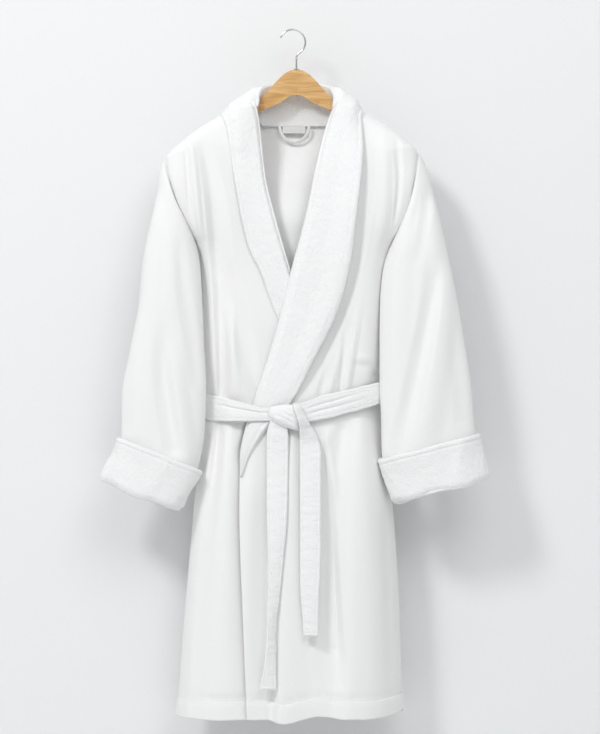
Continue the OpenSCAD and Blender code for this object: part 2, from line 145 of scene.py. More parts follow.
# how much rounder the shoulders are, against the distance from the middle
RAISE_LEFT = curve([(60, 0), (105, 4), (130, 7), (150, 11), (176, 17), (200, 19), (224, 18), (240, 12),
                    (262, 5), (285, 0)])
RAISE_RIGHT = curve([(60, 0), (110, 3), (138, 6), (150, 9), (165, 11), (190, 13), (205, 13), (222, 12),
                     (242, 8), (258, 5), (282, 0)])


def round_shoulders(p):
    """Fills the straight line of the shoulders out to a round one; fades away downwards."""
    x, z = p[..., 0], p[..., 2]
    rise = np.where(x > 0, RAISE_LEFT(np.abs(x)), RAISE_RIGHT(np.abs(x)))
    moved = p.copy()
    moved[..., 2] += rise * (1 - smooth((shoulder_z(x) - z) / 120))
    return moved


def grid(nu, nv, v0=0.0, v1=1.0, closed=False):
    u = np.arange(nu) / nu if closed else np.linspace(0, 1, nu + 1)
    return np.meshgrid(u, np.linspace(v0, v1, nv + 1))


def faces(g, turn=1):
    """Faces of four corners over a grid of vertex numbers; turn -1 turns them the other way."""
    return np.stack([g[:-1, :-1], g[:-1, 1:], g[1:, 1:], g[1:, :-1]], -1).reshape(-1, 4)[:, ::turn]


def wall(p, q):
    """Faces between two lines of vertex numbers."""
    return np.stack([p[:-1], p[1:], q[1:], q[:-1]], -1)


def show(name, data):
    o = bpy.data.objects.new(name, data)
    bpy.context.scene.collection.objects.link(o)
    return o


def make_mesh(name, points, quads, uv):
    """A closed object in the frame's place from points in millimetres and faces of four corners."""
    mesh = bpy.data.meshes.new(name)
    points = round_shoulders(points)
    mesh.vertices.add(len(points))
    mesh.vertices.foreach_set("co", (points * MM).astype(np.float32).ravel())
    mesh.loops.add(quads.size)
    mesh.loops.foreach_set("vertex_index", quads.astype(np.int32).ravel())
    mesh.polygons.add(len(quads))
    mesh.polygons.foreach_set("loop_start", np.arange(0, quads.size, 4, dtype=np.int32))
    mesh.polygons.foreach_set("use_smooth", np.ones(len(quads), bool))
    mesh.update(calc_edges=True)
    layer = mesh.uv_layers.new(name="cloth")
    layer.data.foreach_set("uv", uv[quads.ravel()].astype(np.float32).ravel())
    mesh.validate()
    b = bmesh.new()
    b.from_mesh(mesh)
    bmesh.ops.recalc_face_normals(b, faces=b.faces)
    b.to_mesh(mesh)
    b.free()
    return show(name, mesh)


def ply(name, middle, half, side, uv, pile=None, closed=False, rim=0.9, under_pile=0.0):
    """A ply of cloth with rounded edges: middle is its middle surface, half its half thickness, and pile
    lifts its outer face. side is the way round that makes the normals point out."""
    rows, cols = middle.shape[:2]
    n = side * normals(middle, closed)
    half = np.broadcast_to(np.asarray(half, float), (rows, cols))
    pile = np.zeros((rows, cols)) if pile is None else pile
    far = middle + n * (half + pile)[..., None]
    near = middle - n * (half + under_pile * pile)[..., None]
    flat_middle, flat_uv = middle.reshape(-1, 3), uv.reshape(-1, 2)
    index = np.arange(rows * cols).reshape(rows, cols)
    far_id, near_id = index, index + rows * cols
    points = [far.reshape(-1, 3), near.reshape(-1, 3)]
    uvs = [flat_uv, flat_uv]

    def wrapped(a):
        return np.concatenate([a, a[:, :1]], 1) if closed else a

    quads = [faces(wrapped(far_id), -side), faces(wrapped(near_id), side)]

    def edge(far_line, near_line, inner, ring=False):
        """Rounds one edge with a line of points half way between the two faces, and returns their numbers."""
        centre = flat_middle[far_line]
        out = centre - flat_middle[inner]
        out /= np.maximum(np.linalg.norm(out, axis=1, keepdims=True), 1e-9)
        line = np.arange(len(far_line)) + sum(len(part) for part in points)
        points.append(centre + out * (half.reshape(-1)[far_line] * rim)[:, None])
        uvs.append(flat_uv[far_line])
        for p, q in ((far_line, line), (line, near_line)):
            quads.append(wall(np.append(p, p[0]), np.append(q, q[0])) if ring else wall(p, q))
        return line

    top = edge(far_id[0], near_id[0], index[1], closed)
    bottom = edge(far_id[-1], near_id[-1], index[-2], closed)
    if not closed:
        first = edge(far_id[:, 0], near_id[:, 0], index[:, 1])
        last = edge(far_id[:, -1], near_id[:, -1], index[:, -2])
        corners = ((0, 0, top[0], first[0]), (0, -1, top[-1], last[0]),
                   (-1, 0, bottom[0], first[-1]), (-1, -1, bottom[-1], last[-1]))
        quads.append(np.array([(far_id[r, c], along, near_id[r, c], down) for r, c, along, down in corners]))
    return make_mesh(name, np.concatenate(points), np.concatenate(quads), np.concatenate(uvs))


def cushion(name, front, back, uv):
    """A closed piece between a front and a back grid of points."""
    index = np.arange(uv.shape[0] * uv.shape[1]).reshape(uv.shape[:2])
    a, b = index, index + index.size
    quads = [faces(a), faces(b, -1)]
    quads += [wall(p, q) for p, q in ((a[0], b[0]), (a[-1], b[-1]), (a[:, 0], b[:, 0]), (a[:, -1], b[:, -1]))]
    return make_mesh(name, np.concatenate([front.reshape(-1, 3), back.reshape(-1, 3)]), np.concatenate(quads),
                     np.concatenate([uv.reshape(-1, 2)] * 2))


def arc_uv(p):
    """Texture coordinates in centimetres along the cloth, from the lengths of the middle row and column."""
    across = np.linalg.norm(np.diff(p[p.shape[0] // 2], axis=0), axis=1)
    down = np.linalg.norm(np.diff(p[:, p.shape[1] // 2], axis=0), axis=1)
    a = np.concatenate([[0], np.cumsum(across)])
    d = np.concatenate([[0], np.cumsum(down)])
    return np.stack(np.broadcast_arrays(a[None, :] / 10, d[:, None] / 10), -1)


# ---------------------------------------------------------------- the body's surfaces, as in the CAD

middle_x = curve([(HEM_Z, -13), (-960, -6), (WAIST_Z, -6), (ARMPIT_Z, -2), (TIP_Z, -9), (NECK_Z, 0)])
half_width_curve = curve([(HEM_Z, 216), (-1120, 204), (-960, 192), (WAIST_Z, 172), (-560, 174), (-480, 177),
                          (-445, 181), (ARMPIT_Z, ARMPIT_X)])
armhole_bow = curve([(-420, 0), (-390, 3), (-365, 5.5), (-339, 8), (-300, 6.5), (TIP_Z, 0)])


def half_width(z):
    armhole = mix(ARMPIT_X, TIP_X, np.clip((z - ARMPIT_Z) / (TIP_Z - ARMPIT_Z), 0, 1)) + armhole_bow(z)
    shoulder = mix(TIP_X, NECK_X, (z - TIP_Z) / (NECK_Z - TIP_Z))
    return np.where(z > TIP_Z, shoulder, np.where(z > ARMPIT_Z, armhole, half_width_curve(z)))


def middle_y(x, z):
    """The shoulders and upper body bend forward round the hanger."""
    return -20 * (x / 222) ** 2 * smooth((z + 620) / 350)


def shoulder_z(x):
    tip = TIP_X - 9 * np.sign(x)
    return mix(NECK_Z, TIP_Z, np.clip((np.abs(x) - NECK_X) / (tip - NECK_X), 0, 1))


edge_depth = curve([(ARMPIT_Z - 60, 0), (ARMPIT_Z, 12), (-337, 38), (TIP_Z, ROUND)])
fuller_edge = curve([(-440, 0), (ARMPIT_Z, 3), (-402, 9), (-388, 10), (-365, 6), (-337, 2), (-305, 3),
                     (-285, 2), (TIP_Z, 0)])
front_depth = curve([(HEM_Z, 84), (-960, 68), (WAIST_Z, 54), (ARMPIT_Z, 60), (TIP_Z, 46), (NECK_Z, 26)])
back_depth = curve([(HEM_Z, 58), (WAIST_Z, 42), (ARMPIT_Z, 48), (TIP_Z, 42), (NECK_Z, 30)])


def across_at(x, z):
    """0 in the middle of the body to 1 at its sides."""
    return np.minimum(1, np.abs(x - middle_x(z)) / half_width(z))


def flatness(z):
    """How much flatter the front hangs than a round section; the belt gathers it in."""
    return 0.65 * (1 - bell((z + 745) / 75))


def depth(x, z, deepest, flat=0.0):
    """How far the body reaches to the front or back of its middle surface."""
    drop = np.clip((shoulder_z(x) - z) / ROUND, 0, 1)
    over_arm = np.sqrt(1 - (1 - drop) ** 2)
    edge, across = edge_depth(z), across_at(x, z)
    section = mix((1 - across ** 2) ** SIDE_POWER, (1 - across ** 8) ** 0.5, flat)
    return over_arm * (edge + (deepest - edge) * section + fuller_edge(z) * across ** 8)


def front_point(x, z):
    x, z = np.broadcast_arrays(x, z)
    return np.stack([x, middle_y(x, z) - depth(x, z, front_depth(z), flatness(z)), z], -1)


def back_point(x, z):
    x, z = np.broadcast_arrays(x, z)
    return np.stack([x, middle_y(x, z) + depth(x, z, back_depth(z)), z], -1)


OVER, ROW_POWER = 0.14, 1.4     # share of the rows that turn over the shoulder; how close the upper rows are


def row_z(z_top, v):
    """Height of a row: v is 0 at the shoulder and 1 at the hem."""
    turn = z_top - ROUND * (1 - np.cos(np.radians(90 * np.minimum(v, OVER) / OVER)))
    down = mix(z_top - ROUND, HEM_Z, np.clip((v - OVER) / (1 - OVER), 0, 1) ** ROW_POWER)
    return np.where(v < OVER, turn, down)


SEAM_V, SEAM_TURN = 0.012, 88.6     # the panels stop just short of the shoulder and side seams
left_edge = curve([(HEM_Z, -94), (-1150, -102), (-940, -108.5), (-846, -107), (-768, -91), (-728, -79),
                   (-610, -42), (-483, -10), (-350, 24), (-266, 41), (-163, 71), (NECK_Z, NECK_X)])
right_edge = curve([(HEM_Z, 98), (-846, 95), (-728, 70), (-610, 25), (-483, -10), (-428, -26), (-368, -43),
                    (-300, -60), (-167, -77), (NECK_Z, -NECK_X)])


def front_surface(edge, way, u, v):
    row = mix(SEAM_V, 1, v)
    z_in, z_out = row_z(NECK_Z, row), row_z(TIP_Z, row)
    across = np.sin(np.radians(SEAM_TURN * u))
    x = mix(edge(z_in), middle_x(z_out) + way * half_width(z_out), across)
    return front_point(x, mix(z_in, z_out, across))


def back_surface(u, v):
    across = np.sin(np.radians(SEAM_TURN * (2 * u - 1)))
    x_top = TIP_X * across + middle_x(TIP_Z) * np.abs(across)
    dip = mix(BACK_NECK_Z, NECK_Z, np.clip((x_top / NECK_X) ** 2, 0, 1))
    z = row_z(np.minimum(dip, shoulder_z(x_top)), mix(SEAM_V, 1, v))
    low = np.minimum(z, TIP_Z)
    return back_point(half_width(low) * across + middle_x(low) * np.abs(across), z)


def lift(p):
    """How far the left front lies over the right one."""
    x, y, z = p[..., 0], p[..., 1], p[..., 2]
    return np.where(y > 0, 0, WRAP_LIFT * smooth((1 - across_at(x, z)) / 0.3) * smooth((-z - 170) / 110))


# ---------------------------------------------------------------- folds

# Edges of the belt against the turn round the waist: 0 is the front, 90 the wearer's left
belt_high = curve([(0, -741), (6, -735), (17, -722), (38, -708), (72, -692), (90, -689), (180, -692),
                   (270, -716), (302, -722), (328, -735), (342, -745), (360, -741)])
belt_low = curve([(0, -768), (6, -770), (17, -765), (38, -750), (72, -733), (90, -732), (180, -737),
                  (270, -757), (302, -768), (328, -769), (342, -768), (360, -768)])


def turn_of(x):
    """The turn round the waist at x, on the front."""
    return np.degrees(np.arcsin(np.clip((x - WAIST_X) / WAIST_HALF, -1, 1)))


def pinch(z, turn):
    """The belt holds the folds down."""
    return 1 - 0.8 * bell((z - (belt_high(turn) + belt_low(turn)) / 2) / 26)


# Folds of the wearer's right front, which lies under the wrap
RIGHT_FOLDS = [
    # deep soft fold from the shoulder, beside the arm, down to the belt
    [(-222, -190, 12, 16, 0), (-260, -178, 14, 20, -7), (-320, -166, 16, 26, -13), (-378, -160, 16, 30, -17),
     (-456, -154, 16, 30, -18), (-534, -149, 15, 28, -18), (-612, -148, 12, 24, -16),
     (-690, -147, 10, 20, -14), (-740, -147, 9, 14, -8)],
    # pleats at the top of the armhole
    [(-222, -210, 8, 8, 0), (-255, -203, 8, 9, 5), (-310, -196, 8, 9, 7), (-378, -190, 7, 9, 7),
     (-430, -184, 7, 8, 4), (-490, -178, 7, 8, 0)],
    [(-228, -219, 6, 7, 0), (-275, -214, 6, 7, -4), (-340, -209, 6, 6, -4), (-385, -202, 5, 6, 0)],
    # wedge that runs in to the knot
    [(-440, -132, 16, 20, 0), (-515, -124, 22, 24, -5), (-573, -112, 24, 24, -8), (-651, -94, 24, 22, -9),
     (-710, -80, 20, 18, -8), (-750, -72, 16, 14, -3)],
    [(-520, -134, 12, 12, 0), (-600, -128, 13, 14, 4), (-700, -120, 13, 14, 4), (-745, -118, 12, 12, 1)],
    # the panel turns in towards the collar
    [(-225, -122, 56, 46, 0), (-300, -108, 64, 48, -8), (-450, -78, 76, 50, -12), (-600, -48, 80, 44, -12),
     (-700, -40, 60, 36, -6), (-735, -36, 50, 30, 0)],
    # skirt
    [(-745, -172, 9, 12, 0), (-790, -170, 12, 14, 6), (-885, -176, 16, 20, 10), (-980, -190, 20, 26, 8),
     (-1060, -200, 22, 28, 4), (-1160, -206, 22, 28, 0)],
    [(-745, -151, 9, 10, 0), (-790, -152, 11, 13, -7), (-870, -160, 16, 18, -9), (-960, -177, 20, 22, -7),
     (-1040, -189, 22, 24, -3), (-1120, -195, 22, 24, 0)],
    [(-745, -131, 10, 10, 2), (-790, -132, 16, 18, 8), (-850, -137, 24, 28, 12), (-960, -140, 32, 34, 14),
     (-1060, -143, 40, 40, 13), (-1200, -147, 50, 46, 11), (HEM_Z, -150, 54, 50, 8)],
    [(-960, -205, 12, 16, 0), (-1100, -206, 14, 18, 3), (-1250, -210, 14, 20, 4), (HEM_Z, -212, 14, 20, 4)],
]

# Folds of the wearer's left front, which wraps over
LEFT_FOLDS = [
    # soft hollow that follows the collar's free edge, in its shadow
    [(-183, 136, 16, 12, 0), (-240, 140, 18, 14, -3), (-330, 136, 20, 16, -5), (-400, 127, 20, 16, -6),
     (-470, 113, 20, 17, -6), (-534, 95, 20, 18, -6), (-592, 70, 22, 20, -6), (-651, 45, 24, 22, -5),
     (-700, 20, 22, 20, -3), (-735, 4, 20, 18, 0)],
    # pleats at the top of the armhole
    [(-215, 196, 8, 10, 0), (-250, 196, 9, 10, -3), (-300, 200, 8, 9, -5), (-350, 196, 7, 8, -5),
     (-400, 190, 6, 7, -2), (-430, 186, 6, 6, 0)],
    [(-205, 168, 12, 14, 0), (-260, 172, 14, 14, 3), (-345, 172, 15, 14, 4), (-460, 158, 18, 14, 3),
     (-560, 150, 18, 14, 0)],
    # folds fanning out from the belt
    [(-400, 152, 26, 30, 0), (-500, 150, 30, 34, 6), (-620, 148, 30, 34, 7), (-700, 148, 26, 30, 5),
     (-735, 148, 24, 28, 1)],
    [(-500, 124, 9, 11, 0), (-580, 116, 9, 11, 4), (-650, 106, 8, 10, 6), (-700, 99, 8, 10, 6),
     (-745, 94, 8, 9, 2)],
    [(-560, 98, 8, 9, 0), (-641, 92, 8, 8, -4), (-700, 86, 7, 8, -5), (-740, 81, 7, 7, -2)],
    [(-610, 88, 8, 9, 0), (-670, 75, 9, 10, 4), (-705, 66, 8, 9, 4), (-745, 60, 7, 8, 1)],
    [(-650, 62, 8, 9, 0), (-700, 50, 9, 10, -4), (-730, 43, 8, 8, -3), (-745, 40, 7, 7, -1)],
    # skirt: the edge of the wrap, beside and between the belt's ends, then the wide fold of the left side
    [(-865, -108, 20, 50, 0), (-930, -111, 20, 54, 7), (-1060, -109, 20, 54, 9), (-1200, -104, 20, 52, 8),
     (HEM_Z, -100, 20, 48, 5)],
    [(-770, -56, 22, 12, 0), (-850, -56, 28, 14, -5), (-950, -58, 32, 14, -8), (-1060, -60, 34, 14, -8),
     (-1180, -62, 34, 14, -7), (HEM_Z, -64, 30, 16, -4)],
    [(-775, -8, 7, 8, 2), (-810, -10, 9, 13, 6), (-880, -12, 10, 18, 8), (-1000, -18, 12, 30, 9),
     (-1100, -25, 12, 42, 11), (-1200, -29, 12, 54, 13), (HEM_Z, -31, 14, 58, 14)],
    [(-1080, -46, 9, 10, 0), (-1150, -46, 10, 11, -4), (-1250, -46, 11, 11, -6), (HEM_Z, -50, 13, 13, -6)],
    [(-775, 60, 9, 11, 3), (-800, 60, 9, 11, 6), (-860, 66, 10, 12, 5), (-930, 76, 11, 14, 0)],
    [(-765, 88, 13, 13, -5), (-790, 87, 14, 14, -6), (-830, 84, 14, 14, -4), (-880, 80, 14, 14, 0)],
    [(-750, 128, 26, 36, 2), (-790, 126, 26, 38, 8), (-830, 122, 32, 46, 11), (-960, 114, 32, 60, 14),
     (-1080, 110, 32, 66, 16), (-1200, 110, 32, 68, 15), (HEM_Z, 108, 40, 70, 12)],
    # hollow beside the left belt end, where its shadow falls
    [(-800, 60, 16, 10, 0), (-870, 60, 22, 12, -6), (-960, 65, 30, 13, -11), (-1080, 70, 36, 15, -16),
     (-1180, 75, 40, 17, -17), (-1240, 77, 42, 22, -8), (-1300, 78, 40, 30, 0)],
    [(-900, 176, 14, 12, 0), (-1000, 178, 15, 13, -3), (-1150, 182, 16, 14, -3), (HEM_Z, 186, 18, 14, -2)],
    [(-760, 150, 12, 12, 0), (-790, 152, 12, 12, 2), (-860, 158, 13, 12, 2), (-920, 160, 13, 12, 0)],
]

# how far the under front drops away beside the edge of the wrap
beside_wrap = curve([(-762, 0), (-776, -15), (-800, -20), (-830, -14), (-862, -5), (-900, -3), (HEM_Z, -3)])
# how far the hem hangs above or below a level line, against x
hem_swing = curve([(-235, 0), (-190, -4), (-140, -5), (-104, -3), (-60, -3), (-26, -11), (8, -4), (45, 3),
                   (100, -3), (150, -2), (185, 4), (208, 12)])


def crumple(x, z, seed):
    """Soft unevenness of hanging cloth, longer downwards than across."""
    return (noise(x / 46, z / 170, seed) + 0.13 * noise(x / 16, z / 55, seed + 1)
            + 0.03 * noise(x / 6, z / 16, seed + 2))


def over_hem(x, z, seed):
    """The cloth sinks and puckers a little above the thicker hem."""
    return -(1.8 + 0.9 * noise(x / 9, z / 30, seed)) * bell((z - HEM_Z - 40) / 8)


def side_fade(x, z):
    """Folds fade out at the side seams, so that the front and the back stay together."""
    return smooth((1 - across_at(x, z)) / 0.10)


def fold_right(x, z):
    shown = 1 - smooth((x - left_edge(z) - 4) / 18)
    held = ridges(x, z, RIGHT_FOLDS, wider=1.15, higher=0.9) * pinch(z, turn_of(x) % 360)
    held = held + beside_wrap(z) * bell((x - left_edge(z) - 2) / mix(4.5, 8, smooth((z + 880) / 50)))
    return (held * shown + 0.8 * crumple(x, z, 1)) * side_fade(x, z) + over_hem(x, z, 2)


def fold_left(x, z):
    # a small wrinkle and a pucker above the belt, beside the sleeve
    slope = (x - 126) / 9
    wrinkle = 2.2 * bell((z + 648 + slope) / 7) * bell((x - 128) / 20)
    wrinkle = wrinkle - 2 * bell((z + 661 + slope) / 8) * bell((x - 132) / 20)
    pucker = 9 * bell((z + 680) / 10) * bell((x - 154) / 8)
    held = (ridges(x, z, LEFT_FOLDS, wider=1.15, higher=0.9) + wrinkle - pucker) * pinch(z, turn_of(x) % 360)
    return (held + 0.8 * crumple(x, z, 5)) * side_fade(x, z) + over_hem(x, z, 6)


BACK_FOLDS = [
    [(-240, -150, 20, 24, 0), (-420, -140, 24, 28, 6), (-600, -120, 20, 26, 8), (-735, -104, 14, 16, 6)],
    [(-240, 150, 24, 20, 0), (-420, 142, 28, 24, 6), (-600, 118, 26, 20, 8), (-735, 100, 16, 14, 6)],
    [(-330, -40, 26, 22, 0), (-520, -44, 22, 22, 5), (-735, -40, 14, 14, 6)],
    [(-330, 48, 22, 26, 0), (-520, 46, 22, 22, 4), (-735, 38, 14, 14, 6)],
    [(-500, 0, 12, 12, 0), (-640, 0, 12, 12, -5), (-735, 0, 12, 12, -6)],
    [(-740, -120, 14, 14, 4), (-900, -136, 24, 26, 9), (-1100, -150, 32, 34, 9), (HEM_Z, -160, 38, 40, 8)],
    [(-740, -55, 12, 12, 4), (-900, -60, 22, 22, 8), (-1100, -66, 28, 28, 9), (HEM_Z, -72, 34, 34, 8)],
    [(-740, 8, 12, 12, 4), (-900, 8, 20, 22, 7), (-1100, 10, 26, 26, 9), (HEM_Z, 12, 32, 30, 9)],
    [(-740, 70, 12, 12, 4), (-900, 76, 22, 22, 8), (-1100, 84, 28, 28, 8), (HEM_Z, 90, 34, 34, 8)],
    [(-740, 128, 12, 12, 4), (-900, 140, 20, 22, 8), (-1100, 152, 26, 26, 8), (HEM_Z, 164, 30, 30, 7)],
]


def fold_back(x, z, deepest=20):
    held = ridges(x, z, BACK_FOLDS) * pinch(z, 180 - turn_of(x))
    # between the shoulder blades the back hangs in towards the front
    hollow = deepest * bell((x + 16) / 126) * smooth((-z - 204) / 100) * smooth((z + 725) / 170)
    return (0.6 * held - hollow + 0.9 * crumple(x, z, 9)) * side_fade(x, z)


def fold_back_lining(x, z):
    """The lining hangs further in than the shell."""
    return fold_back(x, z, mix(42, 80, smooth((-z - 270) / 120)))


def hang(p, fold, out):
    """Moves points of the body of the robe by its folds: out is -1 for the front and 1 for the back."""
    x, z = p[..., 0], p[..., 2]
    moved = p.copy()
    moved[..., 1] += out * fold(x, z)
    moved[..., 2] += hem_swing(x) * smooth((-z - 1150) / 195) * (1 if out < 0 else 0.6)
    return moved


# ---------------------------------------------------------------- materials


def principled(m):
    return m.node_tree.nodes["Principled BSDF"]


def material(name, colour, roughness, sheen=0.0, metallic=0.0):
    m = bpy.data.materials.new(name)
    m.use_nodes = True
    b = principled(m)
    b.inputs["Base Color"].default_value = (*colour, 1)
    b.inputs["Roughness"].default_value = roughness
    b.inputs["Metallic"].default_value = metallic
    b.inputs["Sheen Weight"].default_value = sheen
    b.inputs["Sheen Roughness"].default_value = 0.6
    b.inputs["Specular IOR Level"].default_value = 0.2 if metallic == 0 else 0.5
    return m


def add(m, kind, **values):
    """A node of a material or a world, with its inputs or settings."""
    n = m.node_tree.nodes.new(kind)
    for k, v in values.items():
        if k in n.inputs.keys():
            n.inputs[k].default_value = v
        else:
            setattr(n, k, v)
    return n


def join(m, a, b):
    m.node_tree.links.new(a, b)


def texture(m, kind, place, **values):
    """A texture node that reads its place from a socket."""
    n = add(m, "ShaderNodeTex" + kind, **values)
    join(m, place, n.inputs["Vector"])
    return n


def mapped(m, socket, scale, rotation=(0, 0, 0)):
    n = add(m, "ShaderNodeMapping", Scale=scale, Rotation=rotation)
    join(m, socket, n.inputs["Vector"])
    return n.outputs["Vector"]


def cloth_place(m, x, y):
    """Coordinates along the cloth in centimetres, scaled by x across and y down."""
    return mapped(m, add(m, "ShaderNodeUVMap", uv_map="cloth").outputs["UV"], (x, y, 1))


def object_place(m):
    return add(m, "ShaderNodeTexCoord").outputs["Object"]


def tinted(m, colour, other, amount_socket):
    blend = add(m, "ShaderNodeMix", data_type="RGBA")
    amount, first, second = blend.inputs[0], blend.inputs[6], blend.inputs[7]
    first.default_value, second.default_value = (*colour, 1), (*other, 1)
    join(m, amount_socket, amount)
    join(m, blend.outputs[2], principled(m).inputs["Base Color"])


def bumped(m, heights):
    """Chains bumps of (height socket, depth in metres, strength)."""
    last = None
    for socket, distance, strength in heights:
        b = add(m, "ShaderNodeBump", Strength=strength, Distance=distance)
        join(m, socket, b.inputs["Height"])
        if last is not None:
            join(m, last, b.inputs["Normal"])
        last = b.outputs["Normal"]
    join(m, last, principled(m).inputs["Normal"])


def woven(name, colour, other):
    """Smooth woven cloth: fine warp ribs that run down it, slubs, and a soft sheen."""
    m = material(name, colour, 0.82, sheen=0.12)
    slub = texture(m, "Noise", cloth_place(m, 3.4, 0.16), Scale=1.0, Detail=3.0, Roughness=0.6)
    ribs = texture(m, "Wave", cloth_place(m, 2.6, 0.06), Scale=1.0, Distortion=1.5, Detail=2.0)
    weave = texture(m, "Noise", cloth_place(m, 14, 9), Scale=1.0, Detail=2.0)
    tinted(m, colour, other, slub.outputs["Fac"])
    bumped(m, [(slub.outputs["Fac"], 0.0002, 0.3), (ribs.outputs["Color"], 0.0001, 0.25),
               (weave.outputs["Fac"], 0.0002, 0.35)])
    return m


def looped(name, colour, other):
    """Terry: small loops all over, in patches that lie different ways."""
    m = material(name, colour, 0.95, sheen=0.3)
    loops = texture(m, "Voronoi", cloth_place(m, 7, 7), Scale=1.0, Randomness=1.0)
    nap = texture(m, "Noise", cloth_place(m, 2.4, 2.4), Scale=1.0, Detail=4.0, Roughness=0.65)
    tinted(m, other, colour, nap.outputs["Fac"])
    bumped(m, [(nap.outputs["Fac"], 0.0016, 0.5), (loops.outputs["Distance"], 0.0009, 0.6)])
    return m


def wood():
    """Pale varnished wood with its grain along the arms."""
    m = material("hanger_wood", (0.62, 0.36, 0.14), 0.38)
    place = mapped(m, object_place(m), (14, 60, 110), (0, 0.1, 0))
    grain = texture(m, "Noise", place, Scale=1.0, Detail=6.0, Roughness=0.62, Distortion=0.6)
    pores = texture(m, "Noise", place, Scale=7.0, Detail=3.0)
    ramp = add(m, "ShaderNodeValToRGB")
    dark, light = ramp.color_ramp.elements
    dark.position, dark.color = 0.34, (0.57, 0.31, 0.11, 1)
    light.position, light.color = 0.66, (0.80, 0.52, 0.24, 1)
    join(m, grain.outputs["Fac"], ramp.inputs["Fac"])
    join(m, ramp.outputs["Color"], principled(m).inputs["Base Color"])
    bumped(m, [(grain.outputs["Fac"], 0.0003, 0.25), (pores.outputs["Fac"], 0.0001, 0.3)])
    principled(m).inputs["Coat Weight"].default_value = 0.25
    return m


def steel():
    m = material("hook_steel", (0.62, 0.62, 0.63), 0.22, metallic=1.0)
    brushed = texture(m, "Noise", object_place(m), Scale=900.0, Detail=2.0)
    bumped(m, [(brushed.outputs["Fac"], 0.00005, 0.25)])
    return m


SHELL = woven("shell_cloth", (0.88, 0.88, 0.872), (0.86, 0.86, 0.852))
LINING = woven("lining_cloth", (0.93, 0.93, 0.93), (0.91, 0.91, 0.91))
TERRY = looped("terry", (0.945, 0.945, 0.945), (0.875, 0.875, 0.875))
TAPE = woven("tape", (0.85, 0.85, 0.84), (0.78, 0.78, 0.77))
LABEL = woven("label_tape", (0.80, 0.80, 0.79), (0.70, 0.70, 0.69))
WOOD = wood()
STEEL = steel()


def paint(o, mat):
    """Gives an object its material."""
    o.data.materials.append(mat)


def finish_piece(o, mat, node, body=None, bend=None):
    """Gives a piece its material, hides the CAD node it stands for, and puts it on its body.
    bend is (first body, second body, start, end); its values are not used, and a piece given one only has its
    place baked in and is put on no body."""
    paint(o, mat)
    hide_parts(node)
    if bend:
        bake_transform(o)
    else:
        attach(o, body)


# ---------------------------------------------------------------- body panels

def left_front(u, v):
    return front_surface(left_edge, 1, u, v)


def right_front(u, v):
    return front_surface(right_edge, -1, u, v)


# each part of the body: its surface, the way round that faces out, its folds, -1 for the front or 1 for the
# back, and whether it wraps over the other front
LEFT_FRONT = (left_front, -1, fold_left, -1, True)
RIGHT_FRONT = (right_front, 1, fold_right, -1, False)
BACK = (back_surface, 1, fold_back, 1, False)
BACK_LINING = (back_surface, 1, fold_back_lining, 1, False)


def panel(name, node, part, distance, half, mat, nu, nv):
    surface, side, fold, out, wraps = part
    p = surface(*grid(nu, nv))
    distance = distance + wraps * lift(p)
    middle = hang(p + side * normals(p) * distance[..., None], fold, out)
    finish_piece(ply(name, middle, half, side, arc_uv(middle)), mat, node, "robe")


panel("shell_front_left", "front_panel_left", LEFT_FRONT, 4, 1.0, SHELL, 220, 420)
panel("shell_front_right", "front_panel_right", RIGHT_FRONT, 4, 1.0, SHELL, 220, 420)
panel("shell_back", "back_panel", BACK, 4, 1.0, SHELL, 260, 300)
panel("lining_front_left", "front_lining_left", LEFT_FRONT, 1, 0.7, LINING, 110, 210)
panel("lining_front_right", "front_lining_right", RIGHT_FRONT, 1, 0.7, LINING, 110, 210)
panel("lining_back", "back_lining", BACK_LINING, 1, 0.7, LINING, 160, 220)

HEM_BAND = 33
HEM_V = mix(OVER, 1, (1 - HEM_BAND / (TIP_Z - ROUND - HEM_Z)) ** (1 / ROW_POWER))


def hem_band(name, node, part, nu):
    surface, side, fold, out, wraps = part
    u, v = grid(nu, 14, HEM_V)
    p = surface(u, v)
    n = side * normals(p)
    row = (v - HEM_V) / (1 - HEM_V)
    p[..., 2] += 1.1 * noise(p[..., 0] / 13, p[..., 2] / 60, 4) * smooth(row)
    distance = HEM_NEAR + wraps * lift(p)
    middle = hang(p + n * distance[..., None], fold, out)
    uv = arc_uv(middle)
    stitched = -0.5 * bell((row - 0.12) / 0.05)
    puckers = 0.35 * noise(uv[..., 0] * 0.9, uv[..., 1] * 0.35, 3) * (1 - row * 0.4)
    finish_piece(ply(name, middle, 1.1, side, uv, pile=stitched + puckers), SHELL, node, "robe")


hem_band("hem_left", "hem_band_left", LEFT_FRONT, 220)
hem_band("hem_right", "hem_band_right", RIGHT_FRONT, 220)
hem_band("hem_back", "hem_band_back", BACK, 260)

# ---------------------------------------------------------------- collar

# the outer edge of each lapel against z
left_lapel = curve([(-884, -106.5), (-840, -90), (-795, -62), (-728, -9), (-662, 24), (-539, 81),
                    (-401, 111), (-250, 129), (-160, 121)])
right_lapel = curve([(-870, 88), (-740, 30), (-569, -34), (-529, -50), (-479, -67), (-428, -91),
                     (-307, -118), (-214, -133), (-176, -143)])
LAPEL_TOP, LAPEL_END, NECK_ROWS = -158, -878, 0.36
# round the neck, against t from 0 at the front of the shoulder to 1 at the centre back: the roll's x, y
# and z, and the x and z of the outer edge
ROLL = [(0, 71, -26, LAPEL_TOP), (0.14, 74, -19, -138), (0.3, 70, -7, -122), (0.5, 61, 11, -113),
        (0.75, 42, 26, -108), (1, 0.4, 32, -106)]
FALL = [(0, 121, -170), (0.25, 122, -180), (0.55, 106, -197), (0.8, 60, -208), (1, 0.4, -211)]


